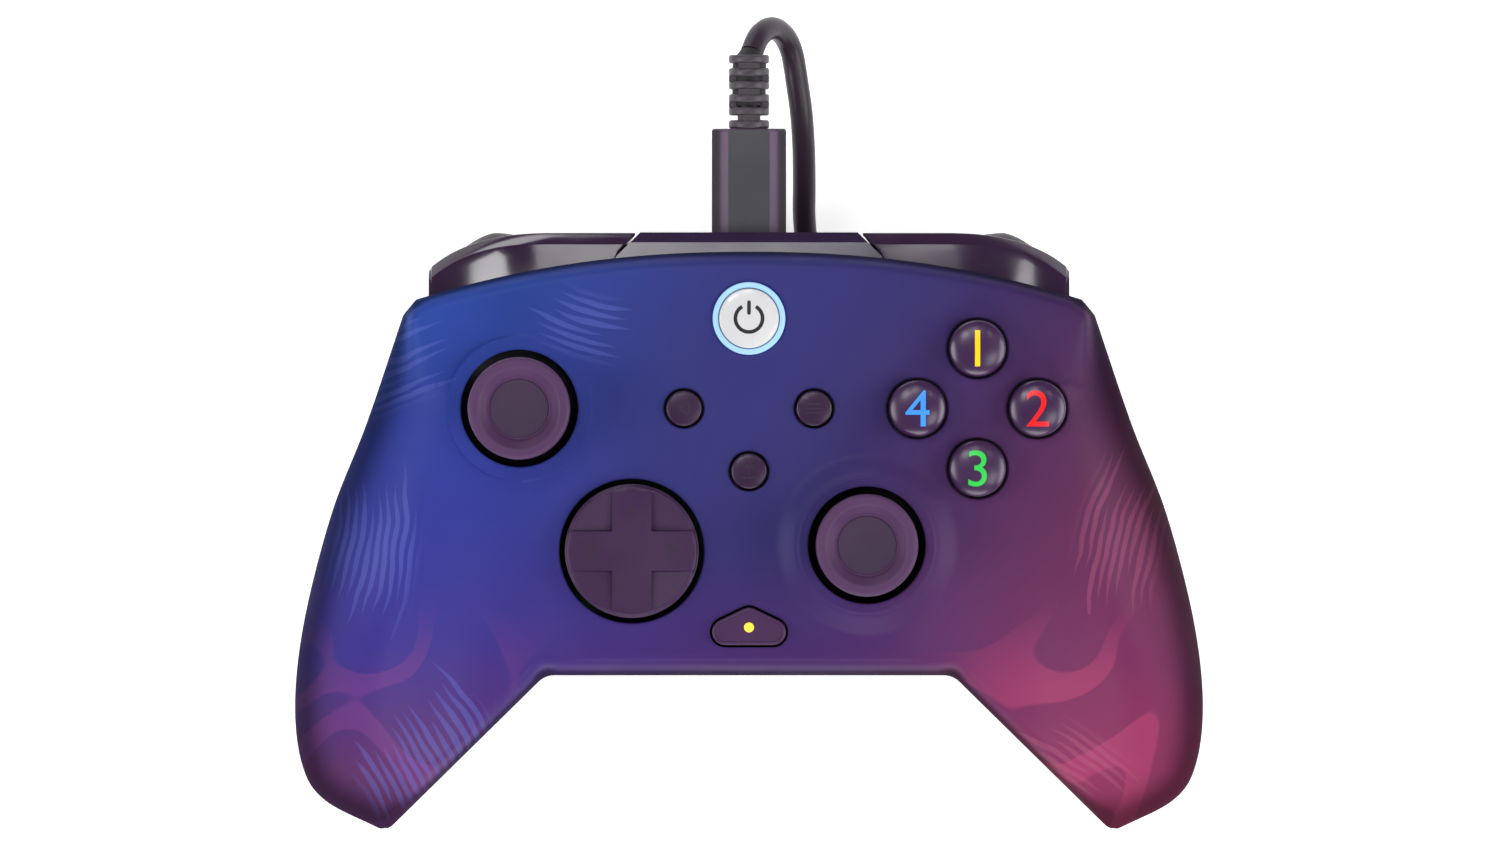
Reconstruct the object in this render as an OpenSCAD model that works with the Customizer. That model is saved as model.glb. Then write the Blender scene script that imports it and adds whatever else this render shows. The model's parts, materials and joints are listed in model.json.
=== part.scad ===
// Wired gamepad lying face up: X to the right, Y away from the player, Z up, table at Z = 0

/* [Casing] */
// Width across the grips
pad_w = 154.2; // [148:0.2:166]
// How far the grip tips reach towards the player
tip_reach = 50.6; // [48:0.2:55]
// Distance between the two grip tips
tip_span = 122.6; // [118:0.2:126]
// How far the faceplate reaches away from the player in the middle
top_reach = 47.4; // [46.4:0.2:50]
// How much lower the ends of that top edge lie
top_fall = 8.1; // [7:0.1:9]
// Half width of the faceplate at its shoulders
shoulder_x = 56.3; // [55.4:0.1:58]
// Distance from the middle to the straight edge between the grips
notch_reach = 24.3; // [23:0.1:26]
// Width of that straight edge
notch_w = 69; // [64:0.5:74]
// Height of the faceplate at its middle
face_z = 46; // [45:0.2:49]
// Height of the underside of the body
belly_z = 19; // [18.9:0.1:20]
// Height of the seam between the two shells
seam_z = 34; // [33:0.2:35]
// Wall thickness of the shells
wall = 2; // [1.6:0.1:2.2]

/* [Sticks] */
// Left stick centre from the middle, across
left_stick_x = 38.8; // [38:0.1:40]
// Left stick centre from the middle, along
left_stick_y = 20.9; // [19:0.1:22]
// Right stick centre from the middle, across
right_stick_x = 19.9; // [19:0.1:22]
// Right stick centre from the middle, along
right_stick_y = -2.2; // [-4:0.1:-1]
// Radius of the thumb cap
cap_r = 8.65; // [7.5:0.05:9]
// Height of the thumb cap above the faceplate's middle
cap_rise = 11; // [9:0.2:13]
// Radius of the hole around each stick
stick_hole_r = 9.9; // [9.7:0.05:10.4]

/* [Direction pad] */
// Radius of the disc
dpad_r = 11.3; // [10.6:0.1:11.4]
// Width of the raised cross
cross_w = 6.6; // [6:0.1:8]
// Gap around the disc
dpad_gap = 0.9; // [0.8:0.05:1.2]

/* [Buttons] */
// Radius of the face buttons
face_button_r = 4.77; // [4.3:0.01:5]
// Distance of the face buttons from their common middle
face_button_spread = 10.15; // [9.9:0.05:11]
// Middle of the face buttons, across
face_group_x = 38.6; // [37.6:0.1:39.4]
// Middle of the face buttons, along
face_group_y = 20.9; // [20:0.1:21.6]
// Radius of the view, menu and share buttons
small_button_r = 2.97; // [2.6:0.01:3.3]
// Radius of the guide button
guide_r = 5.15; // [4.6:0.05:5.4]
// Travel of the face buttons
face_travel = 1.5; // [1:0.1:1.8]
// Travel of the small buttons
small_travel = 0.6; // [0.4:0.05:0.8]
// Gap around every button
button_gap = 0.4; // [0.3:0.05:0.5]

/* [Triggers and bumpers] */
// How far the triggers and the bridge reach away from the player
bridge_reach = 50.7; // [50:0.1:52]
// Half width of the bridge at its outer edge
bridge_x = 18.4; // [16:0.1:19]
// Outer end of the bumpers
bumper_end_x = 54.2; // [53.6:0.1:54.6]
// Height of the trigger tips
trigger_tip_z = 6; // [5.4:0.1:8]
// Radius of the trigger pins
trigger_pin_r = 1.2; // [1:0.05:1.3]

/* [Cable] */
// Width of the plug at the pad
plug_w = 12.6; // [11.6:0.1:12.8]
// Thickness of that plug
plug_t = 7; // [6.4:0.1:7.2]
// Outer end of that plug
plug_end_y = 68.3; // [66:0.1:70]
// Diameter of the cable
cord_d = 3.9; // [3.6:0.05:3.9]
// Width of the plug at the far end
host_w = 15.6; // [14:0.1:16]
// Thickness of the plug at the far end
host_t = 8; // [7:0.1:8]

/* [Hidden] */
$fn = 48;

// Clearances: pieces that only pass each other, pins that turn, pieces pressed together
gap = 0.3;
running = 0.05;
press = 0.02;
over = 1;
// Height above the faceplate to which its cuts reach
above_face = 5;

// Easing from 0 at a to 1 at b, straight blending, and a mirrored position
function ease(a, b, t) = let (k = min(1, max(0, (t - a) / (b - a)))) k * k * (3 - 2 * k);
function blend(a, b, t) = a + (b - a) * t;
function flip(side, p) = [side * p[0], p[1]];

// Heights inside the body
board_t = 1.6;
board_bottom = belly_z + 7.4;
board_top = board_bottom + board_t;
floor_z = belly_z + wall;
lip_z = face_z - 3;
lip_bottom = lip_z - 2;
slot_top = face_z - 6;
slot_bottom = belly_z + 4.5;

// The faceplate falls gently to the sides and droops along the grips
side_fall = 2;
side_fall_at = 50;
droop_slope = 0.5;
droop_start = -8;
droop_soft = 6;
droop_middle = 0.25;
droop_x = [25, 50];
function droop(y) = droop_slope * droop_soft * ln(1 + exp((droop_start - y) / droop_soft));
function crown(x, y) = face_z - side_fall * pow(x / side_fall_at, 2)
  - droop(y) * blend(droop_middle, 1, ease(droop_x[0], droop_x[1], abs(x)));
function crown_at(p) = crown(p[0], p[1]);

// The underside sinks to the table along the grips, and the seam sinks with them
grip_x = pad_w / 2;
belly_fall_y = [8, -26];
belly_fall_x = [36, grip_x - 21];
seam_fall = 18;
seam_fall_y = [30, -25];
seam_fall_x = [30, 62];
function fall_share(ys, xs, x, y) = ease(ys[0], ys[1], y) * ease(xs[0], xs[1], abs(x));
function belly(x, y) = belly_z * (1 - fall_share(belly_fall_y, belly_fall_x, x, y));
function seam(x, y) = seam_z - seam_fall * fall_share(seam_fall_y, seam_fall_x, x, y);
seam_gap = 0.15;

// Along the top edge the shells stand apart and leave a slot for the bumpers and the bridge
top_part_y = 25;
slot_end = [1.8, 0.2];
function slot(x, y) = y > top_part_y ? ease(shoulder_x + slot_end[0], shoulder_x + slot_end[1], abs(x)) : 0;
function front_rim(p) = blend(seam(p[0], p[1]), slot_top, slot(p[0], p[1]));
function rear_rim(p) = blend(seam(p[0], p[1]) - seam_gap, slot_bottom, slot(p[0], p[1]));

// Outer outline of the right half, from the middle of the top edge to the grip tip
top_power = 2.2;
function top_edge(x) = top_reach - top_fall * pow(abs(x) / shoulder_x, top_power);
top_columns = 8;
tip_x = tip_span / 2;
shoulder_y = top_edge(shoulder_x);
side_keys = [
  [shoulder_x, shoulder_y],
  [shoulder_x + 2.2, shoulder_y - 2.5],
  [blend(shoulder_x, grip_x - 6.3, 0.58), 18.5],
  [grip_x - 6.3, 3],
  [grip_x - 1.6, -15],
  [grip_x, -29],
  [grip_x - 1.2, -tip_reach + 11],
  [grip_x - 5, -tip_reach + 5],
  [tip_x + 1.4, -tip_reach + 0.1]
];
function spline(a, b, c, d, t) = 0.5 * (2 * b + (c - a) * t + (2 * a - 5 * b + 4 * c - d) * t * t
  + (3 * b - a - 3 * c + d) * t * t * t);
last_key = len(side_keys) - 1;
side_curve = [
  for (i = [1 : last_key - 1], t = [0, 0.5])
    spline(side_keys[max(1, i - 1)], side_keys[i], side_keys[i + 1], side_keys[min(last_key, i + 2)], t)
];
outer_rail = concat(
  [for (i = [0 : top_columns - 1]) let (x = (shoulder_x - 3) * i / (top_columns - 1)) [x, top_edge(x)]],
  [side_keys[0]],
  side_curve,
  [side_keys[last_key]]
);

// Inner outline of the right half: the straight edge, then the slant to the grip tip
columns = len(outer_rail);
corner_column = 13;
notch_corner = [notch_w / 2, -notch_reach];
inner_tip = [tip_x - 1, -tip_reach + 0.9];
inner_rail = [
  for (i = [0 : columns - 1])
    i <= corner_column
      ? [notch_corner[0] * i / corner_column, -notch_reach]
      : blend(notch_corner, inner_tip, (i - corner_column) / (columns - 1 - corner_column))
];
function rail(points, i) = let (k = min(columns - 2, floor(i))) blend(points[k], points[k + 1], i - k);

// Hollow shells end a little before the tips, so their inner columns bunch up there
bunch_from = columns - 7;
bunch = 0.68;
function hollow_column(i) = i <= bunch_from ? i : bunch_from + (i - bunch_from) * bunch;

// Row positions across one section, from the edge between the grips to the outer edge
edge_angles = [0, 30, 60, 90];
middle_rows = 5;
notch_edge_r = 3;
top_edge_r = 2.6;
side_edge_r = 15;
corner_blend = 6;
function outer_r(q) = q[1] > top_part_y
  ? blend(side_edge_r, top_edge_r, ease(shoulder_x + corner_blend, shoulder_x, abs(q[0])))
  : side_edge_r;
// The last columns sink to the tip along a quarter of an ellipse
tip_start = 4.2;
tip_run = 4;
function tip_rise(i) = sqrt(1 - pow(max(0, (i - columns + tip_start) / tip_run), 2));
// Largest share of a section's length that each rounded edge may take
notch_edge_share = 0.4;
outer_edge_share = 0.55;

// One section of a shell: side is 1 or -1, up is 1 for the front shell and -1 for the rear one
function section(side, i, up, inset) =
  let (
    p0 = rail(inner_rail, i),
    q0 = rail(outer_rail, i),
    along = (q0 - p0) / norm(q0 - p0),
    p = p0 + along * inset,
    q = q0 - along * inset,
    length = norm(q - p),
    rp = min(notch_edge_r - inset / 2, notch_edge_share * length),
    rq = min(max(outer_r(q0) - inset, 1), outer_edge_share * length),
    low_p = up > 0 ? front_rim(p) : rear_rim(p),
    low_q = up > 0 ? front_rim(q) : rear_rim(q),
    rows = concat(
      [for (a = edge_angles) [rp * (1 - cos(a)), low_p, sin(a)]],
      [for (k = [1 : middle_rows]) [blend(rp, length - rq, k / (middle_rows + 1)), low_p, 1]],
      [for (a = edge_angles) [length - rq * (1 - sin(a)), low_q, cos(a)]]
    )
  )
  [for (row = rows)
    let (
      at = p + along * row[0],
      full = up > 0 ? crown_at(at) - inset : belly(at[0], at[1]) + inset
    )
    [side * at[0], at[1], blend(row[1], full, row[2] * tip_rise(i))]
  ];

// Faces of a closed skin: an outer and an inner grid of sections joined around their rims
function quad(a, b, c, d) = [[a, b, c], [a, c, d]];
function flat(lists) = [for (l = lists) each l];
module skin(outer, inner) {
  n = len(outer);
  m = len(outer[0]);
  at = function (layer, i, k) (layer * n + i) * m + k;
  grid = [for (i = [0 : n - 2], k = [0 : m - 2]) each concat(
    quad(at(0, i, k), at(0, i, k + 1), at(0, i + 1, k + 1), at(0, i + 1, k)),
    quad(at(1, i, k), at(1, i + 1, k), at(1, i + 1, k + 1), at(1, i, k + 1))
  )];
  rims = [for (i = [0 : n - 2]) each concat(
    quad(at(0, i, 0), at(0, i + 1, 0), at(1, i + 1, 0), at(1, i, 0)),
    quad(at(0, i + 1, m - 1), at(0, i, m - 1), at(1, i, m - 1), at(1, i + 1, m - 1))
  )];
  ends = concat(
    [for (k = [1 : m - 2]) each [
      [at(0, 0, 0), at(0, 0, k + 1), at(0, 0, k)],
      [at(1, 0, 0), at(1, 0, k), at(1, 0, k + 1)],
      [at(0, n - 1, 0), at(0, n - 1, k), at(0, n - 1, k + 1)],
      [at(1, n - 1, 0), at(1, n - 1, k + 1), at(1, n - 1, k)]
    ]],
    quad(at(0, 0, 0), at(1, 0, 0), at(1, 0, m - 1), at(0, 0, m - 1)),
    quad(at(0, n - 1, m - 1), at(1, n - 1, m - 1), at(1, n - 1, 0), at(0, n - 1, 0))
  );
  polyhedron(points = flat(concat(outer, inner)), faces = concat(grid, rims, ends), convexity = 8);
}
function whole(up, inset) = [
  for (i = [-columns + 1 : columns - 1])
    let (side = i < 0 ? -up : up, k = abs(i))
    section(side, inset > 0 ? hollow_column(k) : k, up, inset)
];
module shell(up) skin(whole(up, 0), whole(up, wall));

// Places of the controls on the faceplate
left_stick = [-left_stick_x, left_stick_y];
right_stick = [right_stick_x, right_stick_y];
dpad_at = [-19.8, -3.2];
face_group = [face_group_x, face_group_y];
face_top = face_group + [0, face_button_spread];
face_right = face_group + [face_button_spread, 0];
face_bottom = face_group - [0, face_button_spread];
face_left = face_group - [face_button_spread, 0];
face_buttons = [face_top, face_right, face_bottom, face_left];
view_at = [-11, 20.9];
menu_at = [11, 20.9];
share_at = [0, 10.3];
guide_at = [0, 36.1];
function_at = [0, -16.6];

// Buttons hang in the shell by a flange under their hole
flange_w = 1.1;
flange_t = 1;
face_rise = 4.2;
face_dome = 1.3;
small_rise = 1;
small_dome = 0.4;
guide_rise = 1.2;
ring_w = 0.65;
ring_rise = 0.5;
stem_bottom = board_top + 5;
function seat(p) = crown_at(p) - wall;

// Case screws, with the boss and post that each one joins
screw_shank_r = 1.2;
screw_head_r = 2.4;
screw_head_t = 1.4;
screw_below = 4.4;
screw_above = 8;
screw_slack = 0.2;
boss_r = 4.2;
body_screws = [[-24, 31], [24, 31], [-40, -12], [40, -12]];
grip_screws = [[-grip_x + 13.1, -tip_reach + 10.6], [grip_x - 13.1, -tip_reach + 10.6]];
grip_joint_z = 14;

// Stick mechanism: a flat ring round the left hole and a raised collar round the right one
left_ring_r = 12.2;
left_ring_rise = 0.2;
collar_lip_r = 11.5;
collar_w = 4.3;
collar_rise = 1.6;
stick_tilt_room = 13;
pivot_z = lip_z - 9.7;
module_half = 6.8;
module_top = pivot_z + 2.3;
module_wall = 0.9;
module_floor = 1;
pot_end_t = 1;
pot_reach = 9.2;
pot_half = 4;
yoke_half = 5;
yoke_hole = 3.4;
yoke_t = 3;
yoke_pin_r = 1;
yoke_pin_end = 7.6;
yoke_pin_start = 6.6;
block_half = 2.4;
block_t = 4;
block_pin_r = 0.8;
block_pin_half = yoke_half - 0.2;
shaft_r = 1.5;
shaft_below = 3;
skirt_r = 12.1;
skirt_t = 1.1;
skirt_edge = 66;
stem_r = 3.2;
cap_top = face_z + cap_rise;

// Motors in the grips
motor_r = 6.5;
motor_len = 14;
motor_shaft_r = 1;
motor_at = [grip_x - 17.1, -16];
motor_z = 16;
weight_r = 5.5;
weight_t = 5;
weight_flat = 1.2;
motor_bore = 10;
motor_shaft_in = 9;

// Trigger pivot, in the plane across the pad
trigger_pivot = [bridge_reach - 16.2, belly_z + 4.9];
trigger_x0 = 34;
trigger_x1 = 52;
trigger_mid_x = 43;
trigger_top = slot_bottom - gap;
trigger_opening_y = trigger_pivot[0] + 1.1;
trigger_room = 0.8;
arm_t = 2;
arm_xs = [35, 49];

// Bumpers turn on posts of the rear shell
bumper_bottom = slot_bottom + gap;
bumper_top = slot_top - gap;
bumper_post = [27.2, bridge_reach - 8.9];
bumper_post_r = 1.45;
bumper_post_h = 11;
bumper_foot_r = 3;

// Back buttons
back_at = [29, -6];
back_half = [4, 8];
back_proud = 1;

// Audio jack between the grips
jack_half_h = 2.6;
jack_z = board_top + jack_half_h;
jack_bore_r = 1.78;
jack_nose_r = 2.5;
jack_half_w = 3;
jack_len = 14;
jack_nose_len = 4;

// USB port and plug share one centre line
port_z = board_top + 1.65;
port_back = bridge_reach - 12.1;
port_front = bridge_reach - 4.8;
tongue_half = 4.17;
tongue_t = 2.56;
port_wall = 0.3;

// Colours, as the photo shows them
plum = [0.22, 0.15, 0.26];
dark_plum = [0.17, 0.1, 0.21];
cable_black = [0.13, 0.1, 0.14];
steel = [0.72, 0.72, 0.74];
green = [0.1, 0.35, 0.2];
rubber = [0.6, 0.6, 0.62];

module at(p, z = 0) translate([p[0], p[1], z]) children();
module along_y(y) translate([0, y, 0]) rotate([-90, 0, 0]) children();
module along_x(x) translate([x, 0, 0]) rotate([0, 90, 0]) children();
module tube(r, z0, z1) translate([0, 0, z0]) cylinder(r = r, h = z1 - z0);
module block(x0, x1, y0, y1, z0, z1) translate([x0, y0, z0]) cube([x1 - x0, y1 - y0, z1 - z0]);
module both_sides() {
  children();
  mirror([1, 0, 0]) children();
}

// Hole and seat pocket for one round button
module button_hole(p, r) {
  at(p) tube(r + button_gap, seat(p) - over, face_z + above_face);
  at(p) tube(r + flange_w + gap, board_top + 1, seat(p));
}
function_round = 2.2;
function_half = 4.05;
function_apex = [0, 1.65];
function_base = -0.3;
module function_plate(grow, z0, z1) {
  at(function_at, z0) linear_extrude(z1 - z0) hull() {
    translate(function_apex) circle(r = function_round + grow, $fn = 32);
    for (side = [-1, 1])
      translate([side * function_half, function_base]) circle(r = function_round + grow, $fn = 32);
  }
}

// Collar that leans with the faceplate under it
module stick_collar(p) {
  fall_x = (crown_at(p + [1, 0]) - crown_at(p - [1, 0])) / 2;
  fall_y = (crown_at(p + [0, 1]) - crown_at(p - [0, 1])) / 2;
  sunk = wall / 3;
  at(p, crown_at(p)) rotate([atan(fall_y), -atan(fall_x), 0]) translate([0, 0, -sunk])
    cylinder(
      r1 = collar_lip_r + collar_w * (1 + sunk / collar_rise),
      r2 = collar_lip_r,
      h = collar_rise + sunk
    );
}

// Hole that a screw bites into, from its joint upwards
module screw_thread(p, joint_z) {
  at(p) tube(screw_shank_r + press, joint_z - over, joint_z + screw_above + gap);
}

module front_shell() {
  color([0.27, 0.24, 0.48]) difference() {
    union() {
      shell(1);
      for (p = body_screws) at(p) tube(boss_r, board_top, crown_at(p) - wall / 2);
      for (p = grip_screws) at(p) tube(boss_r, grip_joint_z, crown_at(p) - wall);
      for (p = [left_stick, right_stick])
        at(p) tube(stick_tilt_room + wall, lip_bottom, crown_at(p) - wall / 2);
      at(left_stick) tube(left_ring_r, lip_bottom, crown_at(left_stick) + left_ring_rise);
      stick_collar(right_stick);
    }
    for (p = [left_stick, right_stick]) at(p) {
      tube(stick_hole_r, lip_bottom - over, face_z + above_face);
      tube(stick_tilt_room, pivot_z, lip_bottom);
    }
    at(dpad_at) tube(dpad_r + dpad_gap, lip_bottom - over, face_z + above_face);
    for (p = face_buttons) button_hole(p, face_button_r);
    for (p = [view_at, menu_at, share_at]) button_hole(p, small_button_r);
    button_hole(guide_at, guide_r + ring_w);
    function_plate(button_gap, seat(function_at) - over, face_z + above_face);
    function_plate(flange_w + gap, board_top + 1, seat(function_at));
    for (p = body_screws) screw_thread(p, board_top);
    for (p = grip_screws) screw_thread(p, grip_joint_z);
  }
}

module slot_shape(half, grow, z0, z1) {
  r = half[0] + grow;
  straight = half[1] - half[0];
  block(-r, r, -straight, straight, z0, z1);
  for (side = [-1, 1]) translate([0, side * straight, 0]) tube(r, z0, z1);
}

// Cradle under each motor
cradle_half = 8;
cradle_end = 2;
module motor_cradle() {
  block(motor_at[0] - cradle_half, motor_at[0] + cradle_half,
    motor_at[1] - motor_len + cradle_end, motor_at[1] - cradle_end, wall / 2, motor_z);
}

module rear_shell() {
  color(dark_plum) difference() {
    union() {
      shell(-1);
      for (p = body_screws) at(p) tube(boss_r, belly(p[0], p[1]) + wall / 2, board_bottom);
      for (p = grip_screws) at(p) tube(boss_r, wall / 2, grip_joint_z);
      both_sides() at(bumper_post) {
        tube(bumper_foot_r, floor_z - wall / 2, bumper_bottom - gap);
        tube(bumper_post_r, floor_z, bumper_bottom + bumper_post_h);
      }
      both_sides() motor_cradle();
    }
    both_sides() translate([motor_at[0], 0, motor_z]) along_y(motor_at[1] - motor_len - over)
      cylinder(r = motor_r + press, h = motor_len + 2 * over);
    both_sides() block(trigger_x0 - trigger_room, trigger_x1 + trigger_room,
      trigger_opening_y, 2 * bridge_reach, 0, face_z);
    for (p = body_screws) at(p) {
      tube(screw_shank_r + screw_slack, 0, board_bottom + over);
      tube(screw_head_r + gap, 0, board_bottom - screw_below);
    }
    for (p = grip_screws) at(p) {
      tube(screw_shank_r + screw_slack, -over, grip_joint_z + over);
      tube(screw_head_r + gap, -over, grip_joint_z - board_t - screw_below);
    }
    both_sides() at(back_at) slot_shape(back_half, gap, 0, floor_z + over);
    translate([0, 0, jack_z]) along_y(-notch_reach - over)
      cylinder(r = jack_nose_r + gap, h = wall + notch_edge_r);
  }
}

// Bridge between the bumpers, with the opening for the plug
bridge_flank = 4.5;
bridge_crease = 1.7;
bridge_bevel = 4;
bridge_back = bridge_reach - 9.4;
bridge_tuck = 1.2;
bridge_crest_drop = 1.4;
bridge_face_drop = 3.2;
lower_edge_rise = 2;
module top_bridge() {
  flank_x = bridge_x + bridge_flank;
  right_side = [
    [bridge_x, bridge_reach], [flank_x, bridge_reach - bridge_flank],
    [flank_x, bridge_back + bridge_bevel], [bridge_x, bridge_back]
  ];
  plan = concat(right_side, [for (i = [len(right_side) - 1 : -1 : 0]) flip(-1, right_side[i])]);
  profile = [
    [bridge_back - over, bumper_bottom], [bridge_reach - bridge_tuck, bumper_bottom],
    [bridge_reach, bumper_bottom + lower_edge_rise], [bridge_reach, bumper_top - bridge_face_drop],
    [bridge_reach - bridge_crease, bumper_top - bridge_crest_drop], [bridge_back - over, bumper_top]
  ];
  color(dark_plum) difference() {
    intersection() {
      translate([0, 0, bumper_bottom]) linear_extrude(bumper_top - bumper_bottom) polygon(plan);
      translate([-flank_x - over, 0, 0]) rotate([90, 0, 90]) linear_extrude(2 * (flank_x + over))
        polygon(profile);
    }
    block(-plug_w / 2 - gap, plug_w / 2 + gap, bridge_back - over, bridge_reach + over,
      port_z - plug_t / 2 - gap, port_z + plug_t / 2 + gap);
  }
}

// Bumper: one section swept along the top edge, which swells inwards around its post
bumper_reach = bridge_reach - 0.1;
bumper_fall = 6.1;
bumper_bend_x = 34;
bumper_power = 2.6;
bumper_tuck = 2;
bumper_swell = 5;
bumper_crease = 1.9;
bumper_start_x = 17;
bumper_steps = 14;
bumper_tact_x = 46.5;
bumper_press = 1.15;
bumper_bottom_tuck = 1.5;
bumper_crest_drop = 1.6;
bumper_face_drop = 6;
// The swell fades out between these distances beyond the post
bumper_swell_fade = [3, 8];
function bumper_inner(x) = top_edge(x) - bumper_tuck
  - bumper_swell * ease(bumper_post[0] + bumper_swell_fade[1], bumper_post[0] + bumper_swell_fade[0], x);
bumper_tact_y = bumper_inner(bumper_tact_x) - bumper_press;
function bumper_outer(x) = bumper_reach
  - bumper_fall * pow(max(0, (x - bumper_bend_x) / (bumper_end_x - bumper_bend_x)), bumper_power);
function bumper_section(x) = let (y0 = bumper_inner(x), y1 = bumper_outer(x)) [
  [x, y0, bumper_bottom], [x, y1 - bumper_bottom_tuck, bumper_bottom],
  [x, y1, bumper_bottom + lower_edge_rise], [x, y1, bumper_top - bumper_face_drop],
  [x, y1 - bumper_crease, bumper_top - bumper_crest_drop], [x, y0, bumper_top]
];
module loft(sections) {
  n = len(sections);
  m = len(sections[0]);
  sides = [for (i = [0 : n - 2], k = [0 : m - 1]) let (j = (k + 1) % m)
    each quad(i * m + k, i * m + j, (i + 1) * m + j, (i + 1) * m + k)];
  ends = [[for (k = [m - 1 : -1 : 0]) k], [for (k = [0 : m - 1]) (n - 1) * m + k]];
  polyhedron(points = flat(sections), faces = concat(sides, ends), convexity = 4);
}
module bumper() {
  color(plum) difference() {
    loft([
      for (i = [0 : bumper_steps]) bumper_section(blend(bumper_start_x, bumper_end_x, i / bumper_steps))
    ]);
    at(bumper_post)
      tube(bumper_post_r + running, bumper_bottom - over, bumper_bottom + bumper_post_h + gap);
    linear_extrude(face_z) polygon([
      [0, bridge_reach + over], [bridge_x + 2 * gap - over, bridge_reach + over],
      [bridge_x + 2 * gap + bridge_flank, bridge_reach - bridge_flank],
      [bridge_x + 2 * gap + bridge_flank, 0], [0, 0]
    ]);
  }
}
module left_bumper() mirror([1, 0, 0]) bumper();
module right_bumper() bumper();

// Trigger: a hooked profile with two arms, trimmed to its curved front as seen from above
trigger_hook = [[0, 2.2], [0.06, 0.8], [0.3, 0], [0.62, 1.6], [0.86, 2], [0.97, 1], [1, 1.8]];
trigger_inner = [[1, 7.3], [0.97, 7.9], [0.86, 8.7], [0.62, 9.1], [0.3, 8.8]];
trigger_curve = 1.6;
trigger_drop = 6.4;
trigger_spread_in = 20.4;
trigger_spread_out = 9.5;
trigger_steps = 12;
trigger_eye_r = 1.8;
trigger_behind = 5;
// Corners of the arms, measured from the pivot
arm_root = [4.2, -3.2];
arm_notch = [1.8, 1.2];
arm_top = 3.6;
trigger_body_y = bridge_reach - 9.3;
function trigger_reach(x) = let (spread = x < trigger_mid_x ? trigger_spread_in : trigger_spread_out)
  bridge_reach - trigger_drop * pow(abs(x - trigger_mid_x) / spread, trigger_curve);
function trigger_z(k) = blend(trigger_top, trigger_tip_z, k);
module trigger() {
  y = trigger_pivot[0];
  z = trigger_pivot[1];
  profile = concat(
    [for (s = concat(trigger_hook, trigger_inner)) [bridge_reach - s[1], trigger_z(s[0])]],
    [[y, z] + arm_root],
    [for (a = [-60 : -30 : -270]) [y + trigger_eye_r * cos(a), z + trigger_eye_r * sin(a)]],
    [[y, z] + arm_notch, [y + arm_top, trigger_top]]
  );
  plan = concat(
    [[trigger_x0, y - trigger_behind], [trigger_x1, y - trigger_behind]],
    [for (i = [0 : trigger_steps])
      let (x = blend(trigger_x1, trigger_x0, i / trigger_steps)) [x, trigger_reach(x)]]
  );
  color(plum) difference() {
    intersection() {
      translate([trigger_x0, 0, 0]) rotate([90, 0, 90]) linear_extrude(trigger_x1 - trigger_x0)
        polygon(profile);
      linear_extrude(trigger_top + over) polygon(plan);
    }
    for (xs = [
      [trigger_x0 - over, arm_xs[0]], [arm_xs[0] + arm_t, arm_xs[1]], [arm_xs[1] + arm_t, trigger_x1 + over]
    ]) block(xs[0], xs[1], y - trigger_behind, trigger_body_y, 0, face_z);
    translate([0, y, z]) along_x(trigger_x0 - over)
      cylinder(r = trigger_pin_r + running, h = trigger_x1 - trigger_x0 + 2 * over);
  }
}
module left_trigger() mirror([1, 0, 0]) trigger();
module right_trigger() trigger();
pin_x0 = arm_xs[0] - gap;
pin_x1 = arm_xs[1] + arm_t + gap;
module trigger_pins() {
  color(steel) both_sides() translate([0, trigger_pivot[0], trigger_pivot[1]]) along_x(pin_x0)
    cylinder(r = trigger_pin_r, h = pin_x1 - pin_x0);
}
bracket_t = 2;
bracket_plate_y = [-4, 1];
bracket_plate_t = 0.8;
bracket_eye_r = 1.9;
bracket_front = 1.4;
module trigger_bracket() {
  x0 = arm_xs[0] + arm_t + gap;
  x1 = arm_xs[1] - gap;
  y = trigger_pivot[0];
  color([0.3, 0.3, 0.32]) difference() {
    union() {
      block(x0, x1, y + bracket_plate_y[0], y + bracket_plate_y[1], floor_z, floor_z + bracket_plate_t);
      for (x = [x0, x1 - bracket_t]) {
        block(x, x + bracket_t, y - bracket_eye_r, y + bracket_front, floor_z, trigger_pivot[1]);
        translate([0, y, trigger_pivot[1]]) along_x(x) cylinder(r = bracket_eye_r, h = bracket_t);
      }
    }
    translate([0, y, trigger_pivot[1]]) along_x(x0 - over)
      cylinder(r = trigger_pin_r + press, h = x1 - x0 + 2 * over);
  }
}
module left_trigger_bracket() mirror([1, 0, 0]) trigger_bracket();
module right_trigger_bracket() trigger_bracket();
spring_len = 6;
spring_t = 0.7;
spring_slack = 0.1;
module trigger_spring() {
  inner_r = trigger_pin_r + spring_slack;
  color(steel) translate([0, trigger_pivot[0], trigger_pivot[1]]) along_x(trigger_mid_x - spring_len / 2)
    difference() {
      cylinder(r = inner_r + spring_t, h = spring_len);
      translate([0, 0, -over]) cylinder(r = inner_r, h = spring_len + 2 * over);
    }
}
module left_trigger_spring() mirror([1, 0, 0]) trigger_spring();
module right_trigger_spring() trigger_spring();

// Board and what is soldered to it
board_half = 55;
board_wide_y = [4, trigger_pivot[0] + 1.5];
board_tongue = [21, bridge_back - gap];
board_front = -19;
board_neck = [board_half - 9, -8];
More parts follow.
